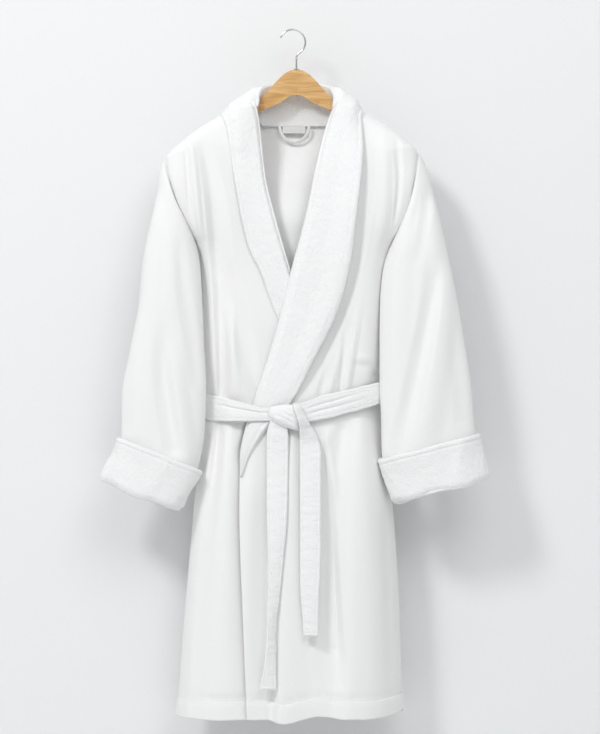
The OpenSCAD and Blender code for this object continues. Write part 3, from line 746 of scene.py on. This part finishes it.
def collar_surface(edge, outer, way, u, v):
    """u runs from the roll to the outer edge, v from the centre back round the neck and down the lapel."""
    lapel_z = shoulder_z(outer(np.array(-170.0)))
    t = np.clip(1 - v / NECK_ROWS, 0, 1)
    near_front = smooth(1 - t / 0.35)
    outer_x = mix(way * curve(FALL, 1)(t), outer(lapel_z), near_front)
    outer_z = mix(curve(FALL, 2)(t), lapel_z, near_front)
    front_roll = front_point(edge(np.array(float(LAPEL_TOP))), np.array(float(LAPEL_TOP)))
    free_roll = np.stack([way * curve(ROLL, 1)(t), curve(ROLL, 2)(t), curve(ROLL, 3)(t)], -1)
    roll = mix(free_roll, front_roll, smooth(1 - t / 0.12)[..., None])
    behind = mix(roll, back_point(outer_x, outer_z), u[..., None])
    s = np.clip((v - NECK_ROWS) / (1 - NECK_ROWS), 0, 1) ** 1.3
    z_roll, z_outer = mix(LAPEL_TOP, LAPEL_END, s), mix(lapel_z, LAPEL_END, s)
    x = mix(edge(z_roll), outer(z_outer), u)
    front = front_point(x, mix(z_roll, z_outer, u))
    return np.where((v < NECK_ROWS)[..., None], behind, front)


def arch(u, v):
    """The collar stands up in an arch over the shoulder."""
    return 10 * np.sin(np.radians(140 * u)) * smooth(1.6 * (1 - np.abs(v - NECK_ROWS + 0.05) / 0.18))


def terry_pile(uv, seed, amount=1.0):
    """The uneven height of terry over its own coordinates."""
    a, b = uv[..., 0], uv[..., 1]
    return amount * (0.32 * noise(a * 4.2, b * 4.2, seed) + 0.40 * noise(a * 1.3, b * 1.1, seed + 3)
                     + 0.22 * noise(a * 8, b * 8, seed + 5))


def collar(name, node, edge, outer, way, side, fold, curl, seed):
    """curl is how far the outer edge stands away from the body, against z."""
    u, v = grid(72, 560)
    p = collar_surface(edge, outer, way, u, v)
    down_front = smooth((v - NECK_ROWS) / 0.1)
    d = TERRY_NEAR + 2.2 + arch(u, v)
    if way > 0:
        d = d + lift(p)
    # the roll at u 0 turns back to the body, and the outer edge stands away from it
    tip = smooth((-p[..., 2] - 772) / 80) * down_front
    d = d - 8 * (1 - smooth(u / 0.16)) * (1 - 0.75 * tip)
    d = d + 2.5 * np.sin(np.pi * u) ** 2 * down_front - 1.6 * tip
    # over the shoulder the free edge lies down
    d = d - 8 * smooth((u - 0.6) / 0.4) * smooth(1.8 * (1 - np.abs(v - NECK_ROWS + 0.01) / 0.2))
    near_belt = bell((p[..., 2] + 752) / 26) * down_front
    below_belt = smooth((-p[..., 2] - 745) / 30) * down_front
    d = d + curl(p[..., 2]) * smooth((u - 0.45) / 0.5) * down_front * (1 - near_belt)
    middle = p + side * normals(p) * d[..., None]
    middle = mix(middle, hang(middle, fold, -1), (down_front * (p[..., 1] < 0))[..., None])
    uv = arc_uv(middle)
    waves = 0.9 * noise(uv[..., 1] / 8, u * 0.7, seed + 7) * smooth(u / 0.3)
    pile = terry_pile(uv, seed) + waves * (1 - near_belt)
    # a line of stitches inside the outer edge
    pile = pile - 0.5 * bell((u - 0.90) / 0.02) + 0.4 * bell((u - 0.955) / 0.03)
    pile = pile - 1.5 * near_belt - 0.6 * below_belt
    # the free edge rolls over below the belt
    pile = pile + 4.0 * bell((u - 0.84) / 0.12) * below_belt
    o = ply(name, middle, 2.3 - 0.3 * near_belt - 1.2 * tip, side, uv, pile=pile * (1 - 0.7 * tip), rim=1.1,
            under_pile=0.3)
    finish_piece(o, TERRY, node, "robe")


left_curl = curve([(-870, 0), (-760, 0), (-720, 3), (-640, 10), (-540, 13), (-400, 13), (-250, 12),
                   (-190, 6), (-150, 3)])
right_curl = curve([(-870, 0), (-560, 0), (-480, 2), (-400, 3), (-250, 4), (-150, 2)])
collar("collar_left_terry", "collar_left", left_edge, left_lapel, 1, -1, fold_left, left_curl, 21)
collar("collar_right_terry", "collar_right", right_edge, right_lapel, -1, 1, fold_right, right_curl, 22)


# Neck seam inside the collar, as x, y, z against t: the front of the shoulder is at 0, the centre back at 1
NECK_SEAM = [(0, 72, -26, -158), (0.12, 75, -10, -137), (0.26, 76, 9, -150), (0.4, 74, 16, -178),
             (0.55, 66, 21, -190), (0.75, 42, 28, -190), (1, 0, 31, -190)]


def collar_stand():
    """The inside of the collar, from its roll down to the neck seam, behind and beside the hanger."""
    u, v = grid(260, 70)
    t, way = 1 - np.abs(2 * u - 1), np.where(u < 0.5, -1, 1)
    top = np.stack([way * (curve(ROLL, 1)(t) - 0.4 * t - 1.5 * (1 - t)), curve(ROLL, 2)(t) - 1.5 * t,
                    curve(ROLL, 3)(t) - 1], -1)
    low = np.stack([way * curve(NECK_SEAM, 1)(t), curve(NECK_SEAM, 2)(t), curve(NECK_SEAM, 3)(t)], -1)
    middle = mix(top, low, v[..., None])
    middle[..., 1] -= 2.5 * np.sin(np.pi * v) * t
    # it reaches out to the right collar's roll
    middle[..., 0] *= np.where(u < 0.5, 1 + 0.085 * (1 - smooth(t / 0.2)), 1)
    uv = arc_uv(middle)
    pile = terry_pile(uv, 31, 0.6) - 1.2 * bell((v - 0.93) / 0.03)
    finish_piece(ply("collar_stand_terry", middle, 1.2, 1, uv, pile=pile), TERRY, "collar_stand", "robe")


collar_stand()

# ---------------------------------------------------------------- sleeves and cuffs

STRAIGHT_V, CUFF_RUN, CUFF_H = 0.8, 102, 88     # where the straight end of a sleeve starts, and its length
TUCK_V = 0.03                                   # seam allowance, in rows above the armhole
# each sleeve as rows of (v, x and z of its outer line, x and z of its inner line)
LEFT_SLEEVE = [(0, 237, -259, 196, -419), (0.1, 260, -318, 181, -446), (0.22, 276, -380, 172, -487),
               (0.34, 292, -452, 168, -541), (0.48, 309, -536, 167, -610), (0.6, 324, -625, 167, -690),
               (0.7, 336, -705, 170, -765)]
RIGHT_SLEEVE = [(0, 255, -265, 201, -421), (0.1, 266, -320, 196, -447), (0.22, 281, -387, 191, -492),
                (0.34, 295, -461, 188, -550), (0.48, 303, -545, 185, -620), (0.6, 321, -640, 181, -700),
                (0.7, 335, -720, 183, -780)]
SLEEVE_Y = curve([(0, -17), (0.1, -30), (0.22, -43), (0.5, -52), (1, -56)])
SLEEVE_DEPTH = curve([(0, 38), (0.1, 34), (0.3, 30), (0.8, 29), (1, 29)])
# points just outside each armpit, given with a sleeve's bend, which finish_piece does not use
SLEEVE_BEND = {1: ((198, -17, -420), (270, -17, -465)), -1: ((-203, -17, -422), (-275, -17, -467))}


def sleeve_ends(way):
    """The middle of a sleeve's end and of the start of its straight run, half its width, and its axis."""
    end = np.array((282, -904) if way > 0 else (300, -915), float)
    lean = math.radians(15 if way > 0 else 22)
    half = 90 if way > 0 else 80
    axis = np.array((math.sin(lean), -math.cos(lean)))
    along = half * np.array((math.cos(lean), math.sin(lean)))
    return end, end - CUFF_RUN * axis, along, axis


def sleeve_surface(way, u, v):
    end, start, along, _ = sleeve_ends(way)
    inner = 0.97 if way > 0 else 0.92
    table = (LEFT_SLEEVE if way > 0 else RIGHT_SLEEVE) + [
        (STRAIGHT_V, *(start + along), *(start - inner * along)), (1, *(end + along), *(end - inner * along))]
    ox, oz, ix, iz = (curve(table, k)(v) for k in (1, 2, 3, 4))
    c, s = np.cos(2 * np.pi * u), np.sin(2 * np.pi * u)
    x = way * ((ox + ix) / 2 + (ox - ix) / 2 * c)
    z = (oz + iz) / 2 + (oz - iz) / 2 * c
    x = x + way * armhole_bow(z) * (1 - smooth(v / 0.12))
    return np.stack([x, SLEEVE_DEPTH(v) * s + SLEEVE_Y(v), z], -1)


LEFT_SLEEVE_FOLDS = [
    [(-262, 232, 10, 10, 0), (-300, 228, 11, 11, 4), (-345, 218, 15, 15, 6), (-417, 204, 18, 20, 6),
     (-520, 194, 22, 26, 6), (-640, 188, 22, 28, 5), (-740, 190, 22, 24, 3), (-810, 192, 20, 20, 0)],
    [(-430, 266, 14, 14, 0), (-500, 264, 17, 16, -6), (-573, 256, 19, 17, -11), (-651, 242, 21, 18, -13),
     (-729, 226, 21, 18, -12), (-790, 210, 19, 17, -8), (-850, 198, 16, 14, -3)],
    [(-450, 296, 16, 16, 0), (-520, 288, 18, 20, 5), (-600, 276, 21, 27, 9), (-680, 264, 22, 30, 11),
     (-750, 254, 23, 32, 10), (-800, 244, 24, 32, 7), (-850, 238, 24, 30, 2)],
    [(-300, 252, 9, 9, 0), (-350, 252, 10, 10, -4), (-410, 244, 11, 11, -4), (-480, 236, 12, 12, 0)],
    [(-320, 268, 9, 10, 0), (-370, 268, 11, 12, 3), (-430, 270, 13, 14, 3), (-500, 268, 14, 14, 0)],
    [(-560, 304, 14, 14, 0), (-640, 310, 15, 15, -3), (-720, 318, 15, 15, -4), (-790, 324, 15, 15, -2)],
]
RIGHT_SLEEVE_FOLDS = [
    [(-310, -262, 16, 18, 0), (-370, -268, 20, 22, 3), (-470, -278, 24, 28, 5), (-600, -290, 26, 30, 6),
     (-720, -302, 26, 30, 5), (-820, -308, 25, 27, 2)],
    [(-570, -262, 13, 13, 0), (-640, -261, 16, 16, -6), (-700, -255, 19, 17, -11), (-768, -245, 20, 17, -12),
     (-846, -234, 18, 15, -6)],
    [(-600, -238, 14, 14, 0), (-690, -233, 16, 18, 7), (-750, -225, 16, 18, 8), (-800, -216, 16, 17, 6),
     (-860, -207, 14, 14, 2)],
    [(-400, -232, 11, 11, 0), (-460, -226, 12, 12, -3), (-530, -218, 13, 13, -5), (-600, -208, 14, 14, -6),
     (-660, -200, 12, 12, -4), (-715, -194, 10, 10, -2)],
    [(-360, -244, 12, 12, 0), (-430, -244, 13, 14, 3), (-500, -244, 14, 15, 4), (-580, -244, 14, 15, 0)],
    [(-650, -322, 12, 12, 0), (-730, -328, 12, 13, -3), (-800, -332, 12, 13, -2)],
]


def sleeve_moved(p, n, way, v, distance):
    """Points of a sleeve at a distance from its surface, with its folds."""
    x, z = p[..., 0], p[..., 2]
    folds = LEFT_SLEEVE_FOLDS if way > 0 else RIGHT_SLEEVE_FOLDS
    front = smooth((-n[..., 1] - 0.05) / 0.6)
    back = smooth((n[..., 1] - 0.05) / 0.6)
    faded = smooth(v / 0.06) * (1 - 0.75 * smooth((v - 0.80) / 0.06))
    height = ridges(x, z, folds, wider=1.35, higher=0.8) * front * faded
    height = height + crumple(x, z, 13 if way > 0 else 17) * smooth(v / 0.05)
    behind = 5 * np.sin(x / 17 + z / 160) * noise(x / 60, z / 170, 25) * back * faded
    moved = p + n * distance[..., None]
    moved[..., 1] += behind - height * front - 0.3 * height * (1 - front) * (1 - back)
    return moved


def sleeve(way, name, node, distance, half, mat, nu, nv):
    side = -way
    u, v = grid(nu, nv, -TUCK_V, closed=True)
    # the first rows are the seam allowance, tucked under the body's armhole
    tuck = np.clip(-v / TUCK_V, 0, 1)
    p = sleeve_surface(way, u, np.maximum(v, 0)) + tuck[..., None] * np.array([-12.0 * way, 0, 2.2])
    n = side * normals(sleeve_surface(way, u, np.maximum(v, 0) + 0.004 * (v < 0)), closed=True)
    # rows of the seam allowance share one line and have no normals, so they take the first good row's
    flat = np.linalg.norm(n, axis=2) < 0.5
    first = int(np.argmax(~flat.any(axis=1)))
    n[:first] = n[first]
    middle = sleeve_moved(p, n, way, v, distance - 2.0 * smooth(tuck * 2.5))
    o = ply(name, middle, half, side, arc_uv(middle), closed=True)
    finish_piece(o, mat, node, bend=("robe", "sleeve_left" if way > 0 else "sleeve_right", *SLEEVE_BEND[way]))


sleeve(1, "sleeve_left_shell", "sleeve_left", 4, 1.0, SHELL, 300, 340)
sleeve(-1, "sleeve_right_shell", "sleeve_right", 4, 1.0, SHELL, 300, 340)
sleeve(1, "sleeve_left_lining", "sleeve_lining_left", 1, 0.7, LINING, 150, 170)
sleeve(-1, "sleeve_right_lining", "sleeve_lining_right", 1, 0.7, LINING, 150, 170)

CUFF_V = 1 - (1 - STRAIGHT_V) * CUFF_H / CUFF_RUN


def cuff(way, name, node, seed):
    """A turned-back cuff; the CAD node and the body have the same name."""
    side = -way
    u, v = grid(440, 84, CUFF_V, closed=True)
    p = sleeve_surface(way, u, v)
    row = (v - CUFF_V) / (1 - CUFF_V)
    ring = 2 * np.pi * u
    # the top edge stands off the sleeve, the fold at the bottom is round, and both wander a little
    d = TERRY_NEAR + 2.4 + 2.2 * (1 - smooth(row / 0.45)) - 4.5 * smooth((row - 0.86) / 0.14) ** 2
    d = d + 1.3 * np.sin(3 * ring + seed) * (1 - row) + 1.2 * np.sin(5 * ring + 2 * seed) * row
    middle = p + side * normals(p, closed=True) * d[..., None]
    axis = sleeve_ends(way)[-1]
    sway = 3.0 * np.sin(2 * ring + seed) + 2.2 * np.sin(5 * ring + seed * 1.7)
    slide = sway * row * 0.8 + 0.5 * sway * (1 - row) * np.sin(ring + 1)
    middle[..., 0] += way * axis[0] * slide
    middle[..., 2] += axis[1] * slide
    a = np.arange(u.shape[1]) * 0.12
    uv = np.stack(np.broadcast_arrays(a[None, :], row * CUFF_H / 10), -1)
    dents = 2.6 * noise(np.cos(ring) * 1.7 + 4, np.sin(ring) * 1.7 + row * 1.2, seed)
    dents = dents + 1.3 * noise(np.cos(ring) * 3.4 + row, np.sin(ring) * 3.4 + row * 1.8, seed + 1)
    pile = terry_pile(uv, seed) + dents
    pile = pile - bell((row - 0.085) / 0.018) + 0.8 * bell((row - 0.035) / 0.03)
    o = ply(name, middle, 2.4, side, uv, pile=pile, closed=True, rim=1.2, under_pile=0.2)
    finish_piece(o, TERRY, node, node)


cuff(1, "cuff_left_terry", "cuff_left", 41)
cuff(-1, "cuff_right_terry", "cuff_right", 42)

# ---------------------------------------------------------------- belt

def waist_point(turn, z):
    """A point of the body at a turn round the waist."""
    c = np.cos(np.radians(turn))
    bulge = np.abs(c) ** (2 * SIDE_POWER)
    y = np.where(c > 0, -front_depth(z) * bulge, back_depth(z) * bulge)
    return np.stack([middle_x(z) + half_width(z) * np.sin(np.radians(turn)), y, z], -1)


def belt_stand(turn):
    """How far the belt stands off: more in front, where it crosses the collar."""
    reach = np.where(turn > 180, 0.5, 0.1)
    return TERRY_NEAR + 0.6 + (BELT_NEAR - TERRY_NEAR) * smooth((np.cos(np.radians(turn)) - reach) / 0.35)


def belt_round():
    """The band from the left of the knot round the back to its right, creased along its length."""
    u, v = grid(1100, 40)
    turn = mix(3, 350, u)
    z = mix(belt_high(turn), belt_low(turn), v)
    z = z + 0.8 * noise(u * 60, v * 2, 51)
    p = waist_point(turn, z)
    n = -normals(waist_point(turn, mix(belt_high(turn), belt_low(turn), 0.5) - (v - 0.5) * 20))
    front_left = smooth((60 - turn) / 40) * smooth((turn - 4) / 12)
    front_right = smooth((turn - 296) / 24)
    creases = front_left * (-2.4 * bell((v - 0.30 - 0.05 * np.sin(turn / 9)) / 0.07)
                            - 2.6 * bell((v - 0.68 + turn / 400) / 0.07))
    creases = creases + front_right * (-2.6 * bell((v - 0.34) / 0.06) + 0.8 * smooth((v - 0.4) / 0.3))
    body = 1.6 * np.sin(np.pi * v) ** 0.5
    near_knot = smooth((14 - turn) / 10) + smooth((turn - 340) / 10)
    d = belt_stand(turn) + 2.2 + body + creases * 0.6 + 3.0 * near_knot
    middle = p + n * d[..., None]
    uv = arc_uv(middle)
    pile = terry_pile(uv, 52, 0.55) + 0.5 * creases
    pile = pile - 0.7 * bell((v - 0.11) / 0.03) - 0.7 * bell((v - 0.89) / 0.03)
    finish_piece(ply("belt_round", middle, 2.0, -1, uv, pile=pile, rim=1.1), TERRY, "belt_band", "robe")


belt_round()

KNOT_Z, KNOT_BACK = -762.0, 7
KNOT_Y = -front_depth(np.array(KNOT_Z)) - BELT_NEAR - KNOT_BACK


def knot_body():
    """The cross-over of the knot, a soft parallelogram pulled down to the right, with creases across it."""
    s, t = grid(150, 120)
    top = mix(-742, -738, s) + 3 * np.sin(np.pi * s)
    bottom = mix(-770, -789, s) - 2 * np.sin(np.pi * s)
    squeeze = 1 - 0.10 * np.cos(2 * np.pi * t)
    x = -22 + (s - 0.5) * 60 * squeeze + 5 * (t - 0.5)
    z = mix(top, bottom, t)
    puff = np.clip((1 - np.abs(2 * s - 1) ** 3) * (1 - np.abs(2 * t - 1) ** 3), 0, 1) ** 0.5
    q = t * 0.9 - s * 0.55
    lines = -1.7 * bell((q - 0.32 + 0.05 * s) / 0.045) * smooth((s - 0.15) / 0.3)
    lines = lines - 1.5 * bell((q - 0.06) / 0.05) * smooth((s - 0.35) / 0.25)
    lines = lines - 1.2 * bell((q + 0.16) / 0.04) * smooth((s - 0.5) / 0.2)
    lines = lines + 0.9 * noise(s * 5 + t * 2, t * 4 - s * 2, 61)
    y, back_y = KNOT_Y - puff * (17 + 2 * s + lines), KNOT_Y + puff * 6
    # nowhere thinner than the cloth
    middle_y, half = (y + back_y) / 2, np.maximum(1.2, (back_y - y) / 2)
    uv = np.stack([s * 6, t * 4.6], -1)
    front = np.stack([x, middle_y - half - terry_pile(uv, 62, 0.5) * puff, z], -1)
    back = np.stack([x, middle_y + half, z], -1)
    finish_piece(cushion("knot_wrap", front, back, uv), TERRY, "belt_knot", "robe")


knot_body()


def belt_end(name, node, body, left, right, lean, stand, top_z, end_z, seed, pivot):
    """A belt end: left and right are the x of its edges against z, lean how far its left edge comes forward,
    and stand how far it stands off."""
    u, v = grid(44, 560)
    z = mix(top_z, end_z, v)
    x = mix(left(z), right(z), u)
    middle_line = mix(left(z), right(z), 0.5)
    p = front_point(middle_line, z)
    y = p[..., 1] - BELT_NEAR - 3.5
    # it stands on the highest fold behind it, evened out over the rows around
    behind = np.maximum.reduce([fold_left(middle_line[:, :1] + k, z[:, :1])
                                for k in (-18, -9, 0, 9, 18)])[:, 0]
    reach = 45
    even = np.ones(2 * reach + 1) / (2 * reach + 1)
    behind = np.convolve(np.pad(behind, reach, mode="edge"), even, mode="valid")
    y = y - np.clip(behind[:, None] - 4, 0, 8) - stand(z)
    y = y + lean(z) * (2 * u - 1) - 1.2 * np.sin(np.pi * u)
    middle = np.stack([x, y, z + 0.8 * np.sin(np.pi * u) * (v > 0.98)], -1)
    uv = np.stack([u * 4, v * (top_z - end_z) / 10], -1)
    down = uv[..., 1]
    puckers = 0.55 * noise(u * 1.3, down * 1.05, seed + 1) + 0.35 * noise(u * 2.5, down * 2.2, seed + 2)
    border = np.minimum(np.minimum(u, 1 - u) * 40, (1 - v) * (top_z - end_z))
    pile = terry_pile(uv, seed, 0.6) + puckers
    pile = pile - 0.7 * bell((border - 5) / 1.2) + 0.4 * bell((border - 2.2) / 1.4)
    o = ply(name, middle, 2.4 - 0.5 * bell(border / 3), -1, uv, pile=pile, rim=1.1, under_pile=0.6)
    px, py, pz = pivot
    finish_piece(o, TERRY, node, bend=("robe", body, (px, py, pz + 10), (px, py, pz - 34)))


belt_end("belt_end_right_terry", "belt_tail_right", "belt_end_right",
         curve([(-772, -50), (-790, -55), (-807, -56), (-960, -55.5), (-1041, -53), (-1119, -54),
                (-1158, -55), (-1197, -56.5), (-1236, -60), (-1280, -68), (-1288, -69.5)]),
         curve([(-772, -24), (-790, -18), (-807, -17), (-900, -18), (-960, -20), (-1041, -27), (-1119, -35),
                (-1158, -40), (-1197, -41.5), (-1236, -41), (-1288, -40)]),
         curve([(-960, 0), (-1041, 2), (-1119, 3), (-1197, 4), (-1288, 2)]),
         curve([(-790, 3), (-830, 0)]), -770, -1288, 71, (-37, -83.9, -786.2))
belt_end("belt_end_left_terry", "belt_tail_left", "belt_end_left",
         curve([(-736, -5), (-750, -1), (-765, 4), (-782, 8), (-800, 8.5), (-1080, 9), (-1119, 11),
                (-1158, 14), (-1184, 15.5)]),
         curve([(-736, 5), (-750, 12), (-765, 19), (-780, 28), (-800, 39), (-830, 46), (-1000, 46),
                (-1080, 44), (-1119, 42), (-1184, 41)]),
         curve([(-736, 3), (-755, 7), (-775, 7), (-800, 4), (-840, 0), (-1184, -1)]),
         curve([(-736, 9), (-745, 19), (-765, 20), (-785, 11), (-815, 3), (-1000, 5), (-1184, 9)]),
         -736, -1184, 75, (28, -83.7, -786.2))


def belt_loop(name, node, turn):
    """A strip sewn on above and below the belt, which it passes over."""
    u, v = grid(12, 120)
    turn = np.array(float(turn))
    p = waist_point(turn + mix(-3.2, 3.2, u), mix(belt_high(turn) + 12, belt_low(turn) - 12, v))
    d = mix(6.5, belt_stand(turn) + 9.5, smooth(np.sin(np.pi * v) * 2.4))
    middle = p - normals(p) * d[..., None]
    finish_piece(ply(name, middle, 0.8, -1, arc_uv(middle)), SHELL, node, "robe")


belt_loop("carrier_left", "belt_loop_left", 90)
belt_loop("carrier_right", "belt_loop_right", 270)

# ---------------------------------------------------------------- small sewn pieces

LOOP_RADIUS = 29.0


def neck_loop():
    """The hanging loop: a flat tape folded double, sewn in at the neck seam."""
    u, v = grid(16, 120, closed=True)
    turn, ring = np.radians(mix(180, 360, v)), 2 * np.pi * u
    c, s = np.cos(ring), np.sin(ring)
    # its section, a flat oval, twists a little on the way
    wide, thick = 3.0 * np.sign(c) * np.abs(c) ** 0.7, 1.5 * np.sign(s) * np.abs(s) ** 0.7
    twist = 0.35 * np.sin(np.pi * v)
    out = wide * np.cos(twist) - thick * np.sin(twist)
    x = np.cos(turn) * (LOOP_RADIUS + out)
    z = np.sin(turn) * (LOOP_RADIUS * (1 + 0.10 * np.sin(np.pi * v)) + out)
    y = wide * np.sin(twist) + thick * np.cos(twist)
    points = np.stack([x - 4, y + 24.6, z - 190], -1)
    index = np.arange(u.size).reshape(u.shape)
    quads = [faces(np.concatenate([index, index[:, :1]], 1))]
    for line in (index[0], index[-1]):
        # the end is closed by strips from one side of the ring to the other
        near, far = line[:len(line) // 2 + 1], np.append(line[:1], line[:len(line) // 2 - 1:-1])
        quads.append(wall(near, far)[1:-1])
    uv = np.stack([u * 1.4, v * 9], -1).reshape(-1, 2)
    o = make_mesh("neck_loop", points.reshape(-1, 3), np.concatenate(quads), uv)
    finish_piece(o, TAPE, "hanging_loop", "hanging_loop")


neck_loop()


def label(name, node, x0, x1, z0, z1, y, curve_out):
    """A blank woven label, folded at its edges and sewn down at its ends."""
    u, v = grid(46, 30)
    x, z = mix(x0, x1, u), mix(z1, z0, v)
    bow = curve_out * np.sin(np.pi * u) + 0.25 * noise(u * 5, v * 4, 81)
    middle = np.stack([x, y + bow * 0.4, z], -1)
    uv = np.stack([u * (x1 - x0) / 10, v * (z1 - z0) / 10], -1)
    border = np.minimum(np.minimum(u, 1 - u) * (x1 - x0), np.minimum(v, 1 - v) * (z1 - z0))
    pile = 0.35 * bell(border / 1.2) - 0.2 * bell((border - 2) / 0.4)
    finish_piece(ply(name, middle, 0.4, -1, uv, pile=pile), LABEL, node, "robe")


label("label_neck", "neck_label", -27, 17, -204, -190, 26.6, -1.0)
label("label_care", "care_label", 141, 173, -899, -845, 0.0, 0.6)

# ---------------------------------------------------------------- hanger and hook: CAD nodes with finishes


def dress(node, mat):
    """Gives a CAD node that stays in view its material."""
    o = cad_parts[node]
    o.data.materials.clear()
    paint(o, mat)
    return o


for arm_node in ("hanger_arm_left", "hanger_arm_right"):
    bevel = dress(arm_node, WOOD).modifiers.new("rounded", "BEVEL")
    bevel.width = 0.0028
    bevel.segments = 4
    bevel.limit_method = "ANGLE"
    bevel.angle_limit = math.radians(50)
for steel_node in ("hanger_hook", "hook_bush", "hook_washer"):
    polygons = dress(steel_node, STEEL).data.polygons
    polygons.foreach_set("use_smooth", np.ones(len(polygons), bool))

# ---------------------------------------------------------------- stage, light and camera


def one_sided(m):
    """Makes a material clear from behind, so that the wall doesn't hide the robe's back."""
    both = add(m, "ShaderNodeMixShader")
    join(m, add(m, "ShaderNodeNewGeometry").outputs["Backfacing"], both.inputs[0])
    join(m, principled(m).outputs[0], both.inputs[1])
    join(m, add(m, "ShaderNodeBsdfTransparent").outputs[0], both.inputs[2])
    join(m, both.outputs[0], m.node_tree.nodes["Material Output"].inputs["Surface"])
    return m


def sheet(name, corners, mat):
    mesh = bpy.data.meshes.new(name)
    mesh.from_pydata(corners, [], [(0, 1, 2, 3)])
    mesh.materials.append(mat)
    show(name, mesh)


# the stage, in metres
FLOOR_Z, WALL_Y, WALL_X, WALL_TOP = -1.66, 0.085, 2.2, 1.3
sheet("stage_floor", [(-4, -4, FLOOR_Z), (4, -4, FLOOR_Z), (4, 4, FLOOR_Z), (-4, 4, FLOOR_Z)],
      material("stage_floor", (0.80, 0.80, 0.80), 0.9))
sheet("stage_wall", [(-WALL_X, WALL_Y, FLOOR_Z), (WALL_X, WALL_Y, FLOOR_Z),
                     (WALL_X, WALL_Y, WALL_TOP), (-WALL_X, WALL_Y, WALL_TOP)],
      one_sided(material("stage_wall", (0.86, 0.87, 0.87), 0.9)))


def area_light(name, place, target, size, power):
    data = bpy.data.lights.new(name, "AREA")
    data.shape = "DISK"
    data.size = size
    data.energy = power
    o = show(name, data)
    o.location = place
    o.visible_camera = False
    o.rotation_euler = (Vector(target) - Vector(place)).to_track_quat("-Z", "Y").to_euler()


area_light("key", (-2.4, -3.5, 2.7), (0, 0, -0.5), 1.1, 102)
area_light("front", (1.0, -3.6, 2.1), (0.2, 0, -0.4), 2.4, 43)

# soft light from all round, stronger from above
world = bpy.data.worlds.new("studio")
world.use_nodes = True
background = world.node_tree.nodes["Background"]
background.inputs["Color"].default_value = (0.97, 0.985, 1.0, 1)
direction = add(world, "ShaderNodeSeparateXYZ")
strength = add(world, "ShaderNodeMapRange",
               **{"From Min": -1.0, "From Max": 1.0, "To Min": 0.24, "To Max": 0.67})
join(world, add(world, "ShaderNodeTexCoord").outputs["Generated"], direction.inputs["Vector"])
join(world, direction.outputs["Z"], strength.inputs["Value"])
join(world, strength.outputs["Result"], background.inputs["Strength"])
bpy.context.scene.world = world

# the camera looks straight at the front through a long lens
camera_data = bpy.data.cameras.new("camera")
camera_data.lens, camera_data.sensor_width = 210, 36
camera = show("camera", camera_data)
camera.location = (0.007, -8.4, -0.664)
camera.rotation_euler = (math.radians(90), 0, 0)
bpy.context.scene.camera = camera
bpy.context.scene.view_settings.view_transform = "Standard"
